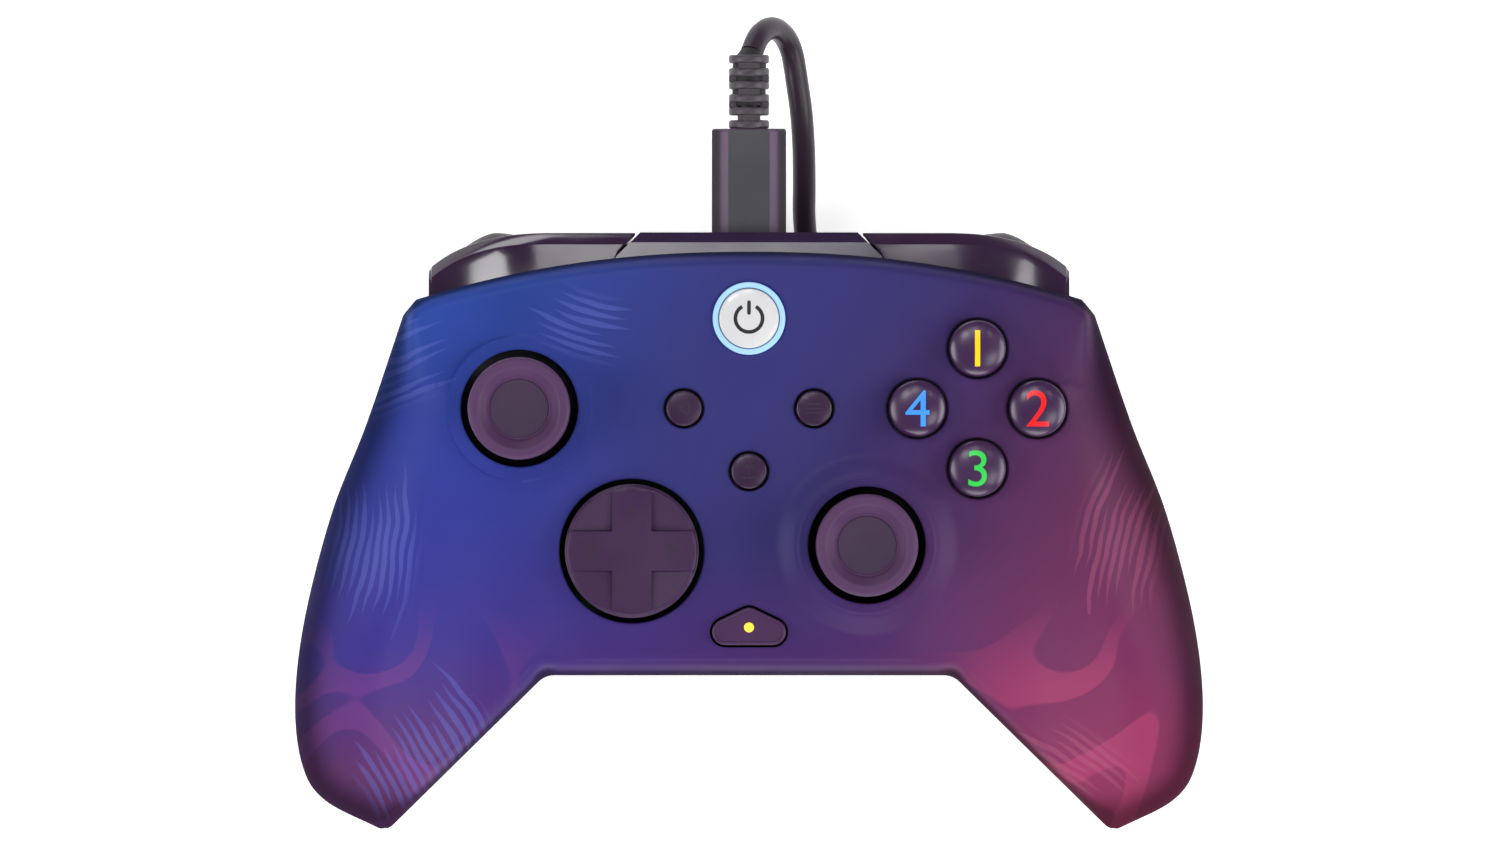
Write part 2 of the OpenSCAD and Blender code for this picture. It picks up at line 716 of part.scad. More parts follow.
// Chips, each with its corner, size and height
chips = [[[-4, -5], [8, 8], 1], [[-28, 22], [5, 4], 0.9], [[8, 28], [5, 4], 0.9]];
module main_board() {
  color(green) difference() {
    translate([0, 0, board_bottom]) linear_extrude(board_t) polygon([
      flip(-1, board_tongue), board_tongue, [board_tongue[0], board_wide_y[1]],
      [board_half, board_wide_y[1]], [board_half, board_wide_y[0]],
      board_neck, [board_neck[0], board_front], [-board_neck[0], board_front], flip(-1, board_neck),
      [-board_half, board_wide_y[0]], [-board_half, board_wide_y[1]], [-board_tongue[0], board_wide_y[1]]
    ]);
    for (p = body_screws) at(p) tube(screw_shank_r + gap, board_bottom - over, board_top + over);
  }
}
module board_chips() {
  color([0.1, 0.1, 0.11]) for (c = chips) at(c[0], board_top) cube([c[1][0], c[1][1], c[2]]);
}
tact_half = 1.7;
tact_h = 2.2;
plunger_r = 0.9;
side_tact_h = 3;
function_leg = [5, -0.4];
function_leg_r = 1.2;
module tact(p, top) {
  at(p) block(-tact_half, tact_half, -tact_half, tact_half, board_top, board_top + tact_h);
  at(p) tube(plunger_r, board_top + tact_h, top);
}
module tact_switches() {
  color([0.75, 0.75, 0.7]) {
    for (p = [view_at, menu_at, share_at, guide_at, function_at + function_leg])
      tact(p, stem_bottom - small_travel - running);
    both_sides() {
      block(bumper_tact_x - tact_half, bumper_tact_x + tact_half,
        board_wide_y[1] - 2 * tact_half, board_wide_y[1], board_top, board_top + side_tact_h);
      translate([bumper_tact_x, 0, board_top + side_tact_h / 2]) along_y(board_wide_y[1] - over)
        cylinder(r = plunger_r, h = bumper_tact_y - running - board_wide_y[1] + over);
      at(back_at) block(-tact_half, tact_half, -tact_half, tact_half, board_bottom - tact_h, board_bottom);
    }
  }
}
module pill(half, t, y0, y1) {
  along_y(y0) {
    r = t / 2;
    translate([-half + r, -r, 0]) cube([2 * (half - r), t, y1 - y0]);
    for (side = [-1, 1]) translate([side * (half - r), 0, 0]) cylinder(r = r, h = y1 - y0);
  }
}
port_end_t = 1;
port_blade = [3.3, 0.35];
module usb_port() {
  clear = running;
  color(steel) translate([0, 0, port_z]) difference() {
    pill(tongue_half + clear + port_wall, tongue_t + 2 * (clear + port_wall), port_back, port_front);
    difference() {
      pill(tongue_half + clear, tongue_t + 2 * clear, port_back + port_end_t, port_front + over);
      block(-port_blade[0], port_blade[0], port_back, port_front - port_end_t,
        -port_blade[1], port_blade[1]);
    }
  }
}
module audio_jack() {
  nose_y = -notch_reach + gap;
  color([0.1, 0.1, 0.11]) difference() {
    union() {
      block(-jack_half_w, jack_half_w, nose_y + jack_nose_len - over, nose_y + jack_len + over,
        board_top, jack_z + jack_half_h);
      translate([0, 0, jack_z]) along_y(nose_y) cylinder(r = jack_nose_r, h = jack_nose_len);
    }
    translate([0, 0, jack_z]) along_y(nose_y - over) cylinder(r = jack_bore_r, h = jack_len + over);
  }
}

// Stick mechanism, one set for each side
module stick_module(p) {
  color([0.55, 0.56, 0.58]) at(p) difference() {
    union() {
      block(-module_half, module_half, -module_half, module_half, board_top, module_top);
      block(module_half, pot_reach, -pot_half, pot_half, board_top, module_top);
      block(-pot_half, pot_half, -pot_reach, -module_half, board_top, module_top);
    }
    inside = module_half - module_wall;
    block(-inside, inside, -inside, inside, board_top + module_floor, module_top + over);
    translate([0, 0, pivot_z]) along_x(-pot_reach)
      cylinder(r = yoke_pin_r + running, h = 2 * pot_reach - pot_end_t);
  }
}
module stick_yoke(p) {
  color(steel) at(p, pivot_z) difference() {
    union() {
      block(-yoke_half, yoke_half, -yoke_half, yoke_half, -yoke_t / 2, yoke_t / 2);
      along_x(-yoke_pin_start) cylinder(r = yoke_pin_r, h = yoke_pin_start + yoke_pin_end);
    }
    block(-yoke_hole, yoke_hole, -yoke_hole, yoke_hole, -over - yoke_t, yoke_t + over);
    along_y(-yoke_half - over) cylinder(r = block_pin_r + running, h = 2 * yoke_half + 2 * over);
  }
}
module stick_pivot(p) {
  color([0.85, 0.85, 0.82]) at(p, pivot_z) difference() {
    union() {
      block(-block_half, block_half, -block_half, block_half, -block_t / 2, block_t / 2);
      along_y(-block_pin_half) cylinder(r = block_pin_r, h = 2 * block_pin_half);
    }
    tube(shaft_r + running, -block_t, block_t);
  }
}
shaft_end = cap_top - 5;
module stick_shaft(p) color([0.85, 0.85, 0.82]) at(p) tube(shaft_r, pivot_z - shaft_below, shaft_end);
function arc(r, z, a0, a1, steps) = [
  for (i = [0 : steps]) let (a = blend(a0, a1, i / steps)) [r * sin(a), z + r * cos(a)]
];
module stick_cap(p) {
  stem_angle = asin(stem_r / skirt_r);
  rim_z = cap_top - 3.4;
  dish_z = cap_top - 1.5;
  color(plum) at(p) rotate_extrude() polygon(concat(
    arc(skirt_r, pivot_z, skirt_edge, stem_angle, 8),
    [
      [stem_r, rim_z - 1.6], [cap_r - 1, rim_z], [cap_r - 0.3, rim_z + 0.6], [cap_r, rim_z + 1.6],
      [cap_r - 0.2, cap_top - 0.7], [cap_r - 0.9, cap_top], [cap_r - 1.7, cap_top],
      [cap_r - 3, dish_z + 0.2], [cap_r - 3.6, dish_z - 0.1], [cap_r - 3.8, dish_z - 0.4],
      [2.5, dish_z - 0.6], [0, dish_z - 0.7], [0, shaft_end], [shaft_r + press, shaft_end]
    ],
    arc(skirt_r - skirt_t, pivot_z, asin((shaft_r + press) / (skirt_r - skirt_t)), skirt_edge, 8)
  ));
}
module left_stick_module() stick_module(left_stick);
module left_stick_yoke() stick_yoke(left_stick);
module left_stick_pivot() stick_pivot(left_stick);
module left_stick_shaft() stick_shaft(left_stick);
module left_stick_cap() stick_cap(left_stick);
module right_stick_module() stick_module(right_stick);
module right_stick_yoke() stick_yoke(right_stick);
module right_stick_pivot() stick_pivot(right_stick);
module right_stick_shaft() stick_shaft(right_stick);
module right_stick_cap() stick_cap(right_stick);

// Direction pad rocking on a post
rock_z = lip_z - 4;
rock_pin_r = 0.8;
rock_post_half = 1.8;
rock_post_above = 1.3;
dpad_base_r = 9;
dpad_base_t = 1;
rock_hole = 2.6;
rock_half = 4.4;
rock_t = 2.4;
dpad_flange_w = 0.4;
dpad_flange_t = 0.7;
dpad_flange_bottom = rock_z + 1.7;
dpad_top = crown_at(dpad_at) + 2;
dpad_lug_y = [4.7, 6.7];
dpad_lug_half = 1.6;
dpad_lug_drop = 1.4;
module dpad_base() {
  color([0.3, 0.3, 0.32]) at(dpad_at) difference() {
    union() {
      tube(dpad_base_r, board_top, board_top + dpad_base_t);
      block(-rock_post_half, rock_post_half, -rock_post_half, rock_post_half,
        board_top, rock_z + rock_post_above);
    }
    translate([0, 0, rock_z]) along_x(-rock_half) cylinder(r = rock_pin_r + running, h = 2 * rock_half);
  }
}
module dpad_rocker() {
  color([0.85, 0.85, 0.82]) at(dpad_at, rock_z) {
    difference() {
      union() {
        block(-rock_half, rock_half, -rock_half, rock_half, -rock_t / 2, rock_t / 2);
        along_y(-dpad_lug_y[1]) cylinder(r = rock_pin_r, h = 2 * dpad_lug_y[1]);
      }
      block(-rock_hole, rock_hole, -rock_hole, rock_hole, -rock_t, rock_t);
    }
    along_x(-rock_hole - over) cylinder(r = rock_pin_r, h = 2 * rock_hole + 2 * over);
  }
}
dpad_dish_depth = 1.1;
dpad_rim_w = 0.4;
module dpad() {
  lug_long = dpad_lug_y[1] - dpad_lug_y[0];
  dish_run = dpad_r - dpad_rim_w - cross_w / 2;
  color(plum) at(dpad_at) difference() {
    union() {
      tube(dpad_r + dpad_gap + dpad_flange_w, dpad_flange_bottom, dpad_flange_bottom + dpad_flange_t);
      tube(dpad_r, dpad_flange_bottom, dpad_top);
      for (y = [dpad_lug_y[0], -dpad_lug_y[1]])
        block(-dpad_lug_half, dpad_lug_half, y, y + lug_long,
          rock_z - dpad_lug_drop, dpad_flange_bottom + dpad_flange_t / 2);
    }
    difference() {
      translate([0, 0, dpad_top - dpad_dish_depth])
        cylinder(r1 = cross_w / 2, r2 = cross_w / 2 + 2 * dish_run, h = 2 * dpad_dish_depth);
      block(-cross_w / 2, cross_w / 2, -2 * dpad_r, 2 * dpad_r, 0, 2 * face_z);
      block(-2 * dpad_r, 2 * dpad_r, -cross_w / 2, cross_w / 2, 0, 2 * face_z);
    }
    translate([0, 0, rock_z]) along_y(-dpad_lug_y[1] - over)
      cylinder(r = rock_pin_r + running, h = 2 * dpad_lug_y[1] + 2 * over);
  }
}

// Round button: stem, flange, body and a domed top in one turned profile
face_stem_r = 2.4;
small_stem_r = 1.4;
guide_stem_r = 1.6;
guide_dome = 0.5;
guide_slack = 0.1;
function dome_arc(r, z, dome) = [for (a = [0 : 15 : 90]) [r * cos(a), z + dome * sin(a)]];
module round_button(p, r, rise, dome, stem) {
  top = crown_at(p) + rise;
  z1 = seat(p) - gap;
  z0 = z1 - flange_t;
  at(p) rotate_extrude() polygon(concat(
    [[0, stem_bottom], [stem, stem_bottom], [stem, z0], [r + flange_w, z0], [r + flange_w, z1], [r, z1]],
    dome_arc(r, top - dome, dome)
  ));
}
membrane_t = 0.8;
membrane_r = 4.4;
membrane_strip = 2;
membrane_dome_r = [3.4, 2.2];
module face_membrane() {
  dome_top = stem_bottom - face_travel - 2 * running;
  sheet_top = board_top + membrane_t;
  color(rubber) {
    for (p = face_buttons) at(p) tube(membrane_r, board_top, sheet_top);
    for (half = [[face_button_spread, membrane_strip], [membrane_strip, face_button_spread]])
      at(face_group) block(-half[0], half[0], -half[1], half[1], board_top, sheet_top);
    for (p = face_buttons) at(p, sheet_top)
      cylinder(r1 = membrane_dome_r[0], r2 = membrane_dome_r[1], h = dome_top - sheet_top);
  }
}
module face_button(p) round_button(p, face_button_r, face_rise, face_dome, face_stem_r);
module small_button(p) round_button(p, small_button_r, small_rise, small_dome, small_stem_r);
module face_button_top() color([0.9, 0.75, 0.2]) face_button(face_top);
module face_button_right() color([0.85, 0.2, 0.2]) face_button(face_right);
module face_button_bottom() color([0.2, 0.7, 0.3]) face_button(face_bottom);
module face_button_left() color([0.3, 0.5, 0.9]) face_button(face_left);
module view_button() color(plum) small_button(view_at);
module menu_button() color(plum) small_button(menu_at);
module share_button() color(plum) small_button(share_at);
guide_ring_bottom = seat(guide_at) - 0.8;
module guide_ring() {
  color([0.6, 0.8, 0.95]) at(guide_at) difference() {
    union() {
      tube(guide_r + ring_w + button_gap - press, guide_ring_bottom, crown_at(guide_at) + ring_rise);
      tube(guide_r + ring_w + flange_w, guide_ring_bottom, seat(guide_at));
    }
    tube(guide_r + running, guide_ring_bottom - over, face_z + above_face);
  }
}
module guide_button() {
  r = guide_r - guide_slack;
  z1 = guide_ring_bottom - gap;
  z0 = z1 - flange_t;
  top = crown_at(guide_at) + guide_rise;
  color([0.92, 0.93, 0.95]) at(guide_at) rotate_extrude() polygon(concat(
    [[0, stem_bottom], [guide_stem_r, stem_bottom], [guide_stem_r, z0]],
    [[r + flange_w, z0], [r + flange_w, z1], [r, z1]],
    dome_arc(r, top - guide_dome, guide_dome)
  ));
}
function_lens_at = function_at + [0, 0.5];
function_lens_r = 0.85;
function_lens_depth = 3;
function_lens_proud = 0.1;
function_top = crown_at(function_at) + small_rise;
module function_button() {
  z1 = seat(function_at) - gap;
  color(plum) difference() {
    union() {
      function_plate(0, z1 - flange_t, function_top);
      function_plate(flange_w, z1 - flange_t, z1);
      at(function_at + function_leg) tube(function_leg_r, stem_bottom, z1);
    }
    at(function_lens_at)
      tube(function_lens_r + press, function_top - function_lens_depth, function_top + over);
  }
}
module function_lens() {
  color([1, 0.75, 0.2]) at(function_lens_at)
    tube(function_lens_r, function_top - function_lens_depth, function_top + function_lens_proud);
}

// Rumble motors with their eccentric weights
module motor(side) {
  color(steel) translate([side * motor_at[0], 0, motor_z]) difference() {
    along_y(motor_at[1] - motor_len) cylinder(r = motor_r, h = motor_len);
    along_y(motor_at[1] - motor_bore) cylinder(r = motor_shaft_r + running, h = motor_bore + over);
  }
}
module motor_weight(side) {
  color([0.6, 0.58, 0.5]) translate([side * motor_at[0], 0, motor_z]) {
    along_y(motor_at[1] - motor_shaft_in) cylinder(r = motor_shaft_r, h = motor_shaft_in + weight_t + over);
    difference() {
      along_y(motor_at[1] + gap) cylinder(r = weight_r, h = weight_t);
      block(-2 * weight_r, 2 * weight_r, motor_at[1] - over, motor_at[1] + weight_t + over,
        weight_flat, 2 * weight_r);
    }
  }
}
module left_motor() motor(-1);
module right_motor() motor(1);
module left_motor_weight() motor_weight(-1);
module right_motor_weight() motor_weight(1);

// Back buttons, pressed up against switches under the board
back_travel = 0.8;
back_flange_w = 1;
back_flange_t = 0.9;
back_stem_r = 1.2;
module back_button(side) {
  flange_z = floor_z + gap;
  color(plum) at(flip(side, back_at)) {
    slot_shape(back_half, 0, belly_z - back_proud, flange_z);
    slot_shape(back_half, back_flange_w, flange_z, flange_z + back_flange_t);
    tube(back_stem_r, flange_z, board_bottom - tact_h - back_travel - running);
  }
}
module left_back_button() back_button(-1);
module right_back_button() back_button(1);

module screw(p, joint_z) {
  at(p) {
    tube(screw_head_r, joint_z - screw_below - screw_head_t, joint_z - screw_below);
    tube(screw_shank_r, joint_z - screw_below, joint_z + board_t + screw_above - gap);
  }
}
module case_screws() {
  color(steel) {
    for (p = body_screws) screw(p, board_bottom);
    for (p = grip_screws) screw(p, grip_joint_z - board_t);
  }
}

// Sweeping a round tube along a path, with rings that stay square to it
function unit(v) = v / norm(v);
function tangents(path, first, last) = [
  for (i = [0 : len(path) - 1])
    i == 0 ? first : i == len(path) - 1 ? last : unit(path[i + 1] - path[i - 1])
];
function normals(ts, start) = [
  for (i = 0, n = unit(start - ts[0] * (start * ts[0])); i < len(ts);
    i = i + 1, n = i < len(ts) ? unit(n - ts[i] * (n * ts[i])) : n) n
];
function rings(path, radii, sides, first, last) = let (
  ts = tangents(path, first, last),
  ns = normals(ts, [1, 0, 0.3])
) [
  for (i = [0 : len(path) - 1]) let (b = cross(ts[i], ns[i]))
    [for (k = [0 : sides - 1]) let (a = 360 * k / sides) path[i] + radii[i] * (ns[i] * cos(a) + b * sin(a))]
];
module sweep(path, radii, sides, first, last) loft(rings(path, radii, sides, first, last));
function same(path, r) = [for (p = path) r];

// Plug at the pad
plug_front_y = port_front + gap;
plug_bevel = 1.6;
module usb_plug_body() {
  w = plug_w / 2;
  t = plug_t / 2;
  c = plug_bevel;
  outline = [
    [-w + c, -t], [w - c, -t], [w, -t + c], [w, t - c], [w - c, t], [-w + c, t], [-w, t - c], [-w, -t + c]
  ];
  color(cable_black) translate([0, 0, port_z]) along_y(plug_front_y)
    linear_extrude(plug_end_y - plug_front_y) polygon(outline);
}
tongue_gap = 0.2;
tongue_root = 1.2;
module usb_plug_tongue() {
  slot = port_blade + [tongue_gap, tongue_gap];
  color(steel) translate([0, 0, port_z]) difference() {
    pill(tongue_half, tongue_t, port_back + port_end_t + tongue_gap, plug_front_y);
    block(-slot[0], slot[0], port_back, plug_front_y - tongue_root, -slot[1], slot[1]);
  }
}

// The cable turns back under the pad in a half circle that starts inside the strain relief
turn_y = plug_end_y + 9.05;
turn_r = 8;
turn_across = [7.8, 0, -14];
relief_bend = 28.7;
function turn(a) = [0, turn_y, port_z] + turn_across * (1 - cos(a)) / 2 + [0, turn_r * sin(a), 0];
function turn_way(a) = unit(turn_across * sin(a) / 2 + [0, turn_r * cos(a), 0]);
relief_collar = 0.8;
relief_neck = [1.1, 1.7];
relief_neck_r = 2.35;
relief_ribs_from = 1.9;
relief_rib_w = 0.8;
relief_rib_slope = 0.15;
relief_rib_taper = 0.1;
relief_groove_taper = 0.05;
relief_rib_r = 3.4;
relief_groove_r = 2.7;
relief_ribs = 5;
relief_rib_pitch = 1.5;
relief_end_r = 2.6;
module plug_relief() {
  collar = [
    [0, relief_rib_r], [relief_collar, relief_rib_r],
    [relief_neck[0], relief_neck_r], [relief_neck[1], relief_neck_r]
  ];
  ribs = [
    for (i = [0 : relief_ribs - 1])
      let (
        y = relief_ribs_from + i * relief_rib_pitch,
        r = relief_rib_r - relief_rib_taper * i,
        groove = relief_groove_r - relief_groove_taper * i
      )
      each [
        [y, r], [y + relief_rib_w, r],
        [y + relief_rib_w + relief_rib_slope, groove], [y + relief_rib_pitch - relief_rib_slope, groove]
      ]
  ];
  straight = concat(collar, ribs);
  path = concat(
    [for (s = straight) [0, plug_end_y + s[0], port_z]],
    [for (a = [10, 20, relief_bend]) turn(a)]
  );
  radii = concat([for (s = straight) s[1]], [relief_end_r + 0.3, relief_end_r + 0.1, relief_end_r]);
  color(cable_black) sweep(path, radii, 12, [0, 1, 0], turn_way(relief_bend));
}

// Coil: four layers of five turns that spiral in and out and climb where they reverse
cord_r = cord_d / 2;
coil_at = [-8, 12.2];
coil_outer_r = 33.2;
coil_pitch = 4.31;
coil_turns = 5;
coil_bottom = 0.8;
coil_end_turn = 19.8;
coil_steps = 24;
function coil_way(s) = [-sin(360 * s), -cos(360 * s), 0];
function coil_radius(s) = let (t = s - 2 * coil_turns * floor(s / (2 * coil_turns)))
  coil_outer_r - coil_pitch * min(t, 2 * coil_turns - t);
function coil_height(s) = coil_bottom + cord_r
  + coil_pitch * (ease(4.75, 5.25, s) + ease(9.75, 10.25, s) + ease(14.75, 15.25, s));
function coil_point(s) = [
  coil_at[0] + coil_radius(s) * cos(360 * s), coil_at[1] - coil_radius(s) * sin(360 * s), coil_height(s)
];
coil_start = coil_point(0) - coil_way(0) * cord_d;
coil_finish = coil_point(coil_end_turn) + coil_way(coil_end_turn) * cord_d;
coil_path = concat(
  [coil_start],
  [for (i = [0 : coil_end_turn * coil_steps]) coil_point(i / coil_steps)],
  [coil_finish]
);
module cable_coil() {
  n = len(coil_path);
  least = min([
    for (i = [0 : n - 1], j = [i + coil_steps / 2 : 1 : n - 1]) norm(coil_path[i] - coil_path[j])
  ]);
  echo(least_gap_between_turns = least - cord_d);
  color(cable_black) sweep(coil_path, same(coil_path, cord_r), 6, coil_way(0), coil_way(coil_end_turn));
}

// Free stretch from the strain relief to the coil under the pad
lead_points = concat([turn(relief_bend)], [
  [1.4, 83.5, 27.2], [2.6, 84.9, 25], [3.9, 85.4, 22.6], [5.2, 84.9, 20.3], [6.4, 83.5, 18.1],
  [7.3, 81.3, 16.6], [7.8, 78.7, 15.8], [8.2, 76, 15.4], [8.9, 71, 14.2], [9.3, 65, 11.6], [9.4, 59, 8],
  [9.4, 53.5, 4.6], [9.9, 49, 2.6], [11.4, 44.5, 2], [14.8, 39, 2], [19, 33.5, 2], [22.6, 26.7, 2.1],
  [24.7, 21, 2.5]
], [coil_start]);
module cable_lead() {
  color(cable_black) sweep(lead_points, same(lead_points, cord_r), 8, turn_way(relief_bend), [0, -1, 0]);
}

tie_t = 0.6;
tie_gap = 0.2;
tie_w = 8;
tie_inner_r = coil_outer_r - coil_turns * coil_pitch - cord_r - 1.2;
tie_top = coil_bottom + 3 * coil_pitch + cord_d + tie_gap;
module cable_tie() {
  x0 = coil_at[0] - coil_outer_r - cord_r - tie_gap;
  x1 = coil_at[0] - tie_inner_r;
  y0 = coil_at[1] - tie_w / 2;
  color([0.2, 0.2, 0.22]) difference() {
    block(x0 - tie_t, x1 + tie_t, y0, y0 + tie_w, coil_bottom - tie_gap - tie_t, tie_top + tie_t);
    block(x0, x1, y0 - over, y0 + tie_w + over, coil_bottom - tie_gap, tie_top);
  }
}

// Short stretch to the far plug, which lies beside the coil
host_at = [37.5, 17, host_t / 2];
host_relief_len = 8;
host_relief_r = [3.5, 2.5];
host_body_len = 20;
host_shell_len = 12;
host_shell_half = 6;
host_shell_t = 4.5;
host_sheet = 0.3;
host_blade_bottom = 0.2;
tail_points = concat([coil_finish], [
  [12, 39.7, 15.1], [18, 37.6, 13.6], [23.6, 34.7, 11.4], [28.2, 31.2, 9], [31.8, 27.5, 6.9],
  [34.7, 23.9, 5.3], [36.7, 20.4, 4.3]
], [host_at]);
module cable_tail() {
  color(cable_black) sweep(tail_points, same(tail_points, cord_r), 8, coil_way(coil_end_turn), [0, -1, 0]);
}
module host_plug_relief() {
  color(cable_black) translate([host_at[0], host_at[1] - host_relief_len, host_at[2]]) along_y(0)
    cylinder(r1 = host_relief_r[0], r2 = host_relief_r[1], h = host_relief_len);
}
module host_plug_body() {
  y1 = host_at[1] - host_relief_len;
  color(cable_black) translate([host_at[0], 0, host_t / 2])
    pill(host_w / 2, host_t, y1 - host_body_len, y1);
}
module host_plug_shell() {
  y1 = host_at[1] - host_relief_len - host_body_len;
  y0 = y1 - host_shell_len;
  inner_half = host_shell_half - host_sheet;
  color(steel) translate([host_at[0], 0, host_t / 2]) difference() {
    block(-host_shell_half, host_shell_half, y0, y1, -host_shell_t / 2, host_shell_t / 2);
    block(-inner_half, inner_half, y0 - over, y1 - over, -host_shell_t / 2 + host_sheet, host_blade_bottom);
  }
}

front_shell();
rear_shell();
top_bridge();
left_bumper();
right_bumper();
left_trigger();
right_trigger();
trigger_pins();
left_trigger_bracket();
right_trigger_bracket();
left_trigger_spring();
right_trigger_spring();
main_board();
board_chips();
tact_switches();
usb_port();
audio_jack();
left_stick_module();
left_stick_yoke();
left_stick_pivot();
left_stick_shaft();
left_stick_cap();
right_stick_module();
right_stick_yoke();
right_stick_pivot();
right_stick_shaft();
right_stick_cap();
dpad_base();
dpad_rocker();
dpad();
face_membrane();
face_button_top();
face_button_right();
face_button_bottom();
face_button_left();
view_button();
menu_button();
share_button();
guide_ring();
guide_button();
function_button();
function_lens();
left_motor();
left_motor_weight();
right_motor();
right_motor_weight();
left_back_button();
right_back_button();
case_screws();
usb_plug_body();
usb_plug_tongue();
plug_relief();
cable_lead();
cable_coil();
cable_tie();
cable_tail();
host_plug_relief();
host_plug_body();
host_plug_shell();
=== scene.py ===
import json
import math

import bmesh
import bpy
import numpy as np
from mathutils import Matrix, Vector
from mathutils.geometry import delaunay_2d_cdt


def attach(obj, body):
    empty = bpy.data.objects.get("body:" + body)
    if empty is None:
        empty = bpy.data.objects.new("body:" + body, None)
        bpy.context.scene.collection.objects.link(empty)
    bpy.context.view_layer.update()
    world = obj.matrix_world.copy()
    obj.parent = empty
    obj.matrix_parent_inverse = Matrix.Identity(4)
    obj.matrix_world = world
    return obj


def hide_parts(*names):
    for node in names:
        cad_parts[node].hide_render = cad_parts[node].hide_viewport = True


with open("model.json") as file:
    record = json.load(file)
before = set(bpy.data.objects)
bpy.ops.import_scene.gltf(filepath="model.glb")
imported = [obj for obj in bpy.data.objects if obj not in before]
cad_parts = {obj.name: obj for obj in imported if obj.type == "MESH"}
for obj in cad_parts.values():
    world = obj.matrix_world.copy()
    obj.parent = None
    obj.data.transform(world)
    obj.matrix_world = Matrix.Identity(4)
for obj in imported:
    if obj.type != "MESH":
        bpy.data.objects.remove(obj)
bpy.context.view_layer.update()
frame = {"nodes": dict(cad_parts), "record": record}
nodes = frame["nodes"]

# All sizes below are in millimetres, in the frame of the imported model
MM = 0.001

# Casing, with the same driving sizes as the solids
PAD_W = 154.2
TIP_REACH = 50.6
TIP_X = 61.3
TOP_REACH = 47.4
TOP_FALL = 8.1
SHOULDER_X = 56.3
NOTCH_REACH = 24.3
NOTCH_X = 34.5
FACE_Z = 46.0
BELLY_Z = 19.0
SEAM_Z = 34.0
SLOT_TOP = 40.0
SLOT_BOTTOM = 23.5
GRIP_X = PAD_W / 2

# Places of the controls on the faceplate
LEFT_STICK = (-38.8, 20.9)
RIGHT_STICK = (19.9, -2.2)
DPAD = (-19.8, -3.2)
FACE_BUTTONS = {"top": (38.6, 31.05), "right": (48.75, 20.9), "bottom": (38.6, 10.75), "left": (28.45, 20.9)}
SMALL_BUTTONS = {"view": (-11.0, 20.9), "menu": (11.0, 20.9), "share": (0.0, 10.3)}
GUIDE = (0.0, 36.1)
FUNCTION = (0.0, -16.6)

# Radius, rise above the faceplate and dome of the round buttons, and the gap round a button
BUTTON_SHAPE = (4.77, 4.2, 1.3)
SMALL_SHAPE = (2.97, 1.0, 0.4)
GUIDE_SHAPE = (5.05, 1.2, 0.5)
BUTTON_GAP = 0.4


# An object of the scene, made from its data
def added(name, data):
    made = bpy.data.objects.new(name, data)
    bpy.context.scene.collection.objects.link(made)
    return made


# Camera straight above, with a long lens, framed as the photograph is
VIEW_W = 253.4
VIEW_MIDDLE = (0.17, 18.6)
LENS = 800
SENSOR = 36
camera_data = bpy.data.cameras.new("camera")
camera_data.lens = LENS
camera_data.sensor_width = SENSOR
camera_data.clip_end = 50
camera = added("camera", camera_data)
camera.location = (
    VIEW_MIDDLE[0] * MM,
    VIEW_MIDDLE[1] * MM,
    (FACE_Z + VIEW_W * LENS / SENSOR) * MM,
)
bpy.context.scene.camera = camera


# Easing from 0 at a to 1 at b, and straight blending
def ease(a, b, t):
    k = np.clip((t - a) / (b - a), 0, 1)
    return k * k * (3 - 2 * k)


def blend(a, b, t):
    return a + (b - a) * t


# Catmull-Rom curve through points, with a number of steps for each span
def smooth_curve(points, steps):
    p = np.asarray(points, float)
    padded = np.vstack([2 * p[0] - p[1], p, 2 * p[-1] - p[-2]])
    out = []
    for i in range(len(p) - 1):
        a, b, c, d = padded[i : i + 4]
        for k in range(steps):
            t = k / steps
            square, cube = 2 * a - 5 * b + 4 * c - d, 3 * b - a - 3 * c + d
            out.append(0.5 * (2 * b + (c - a) * t + square * t**2 + cube * t**3))
    out.append(p[-1])
    return np.array(out)


# Points spaced evenly along a line
def even(points, spacing):
    p = np.asarray(points, float)
    along = np.concatenate([[0], np.cumsum(np.linalg.norm(np.diff(p, axis=0), axis=1))])
    count = max(2, int(round(along[-1] / spacing)) + 1)
    at = np.linspace(0, along[-1], count)
    return np.column_stack([np.interp(at, along, p[:, k]) for k in range(p.shape[1])])


# A finished piece: its mesh in metres, riding a body, standing for solids and taking a finish
# facing is 1 or -1 for an open skin whose faces look up or down, and 0 for a closed piece
def finish_piece(name, verts, faces, material, body, slot, replaced=(), sharp=35, facing=0):
    mesh = bpy.data.meshes.new(name)
    places = [tuple(float(c) * MM for c in v) for v in verts]
    mesh.from_pydata(places, [], [tuple(int(i) for i in f) for f in faces])
    return finish_mesh(name, mesh, material, body, replaced, sharp, facing)


def finish_mesh(name, mesh, material, body, replaced=(), sharp=35, facing=0):
    work = bmesh.new()
    work.from_mesh(mesh)
    bmesh.ops.remove_doubles(work, verts=work.verts, dist=1e-7)
    bmesh.ops.recalc_face_normals(work, faces=work.faces)
    if facing * sum(f.normal.z * f.calc_area() for f in work.faces) < 0:
        bmesh.ops.reverse_faces(work, faces=work.faces)
    work.to_mesh(mesh)
    work.free()
    mesh.shade_smooth()
    mesh.set_sharp_from_angle(angle=math.radians(sharp))
    for m in material if isinstance(material, (list, tuple)) else [material]:
        mesh.materials.append(m)
    piece = added(name, mesh)
    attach(piece, body)
    if replaced:
        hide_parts(*replaced)
    return piece


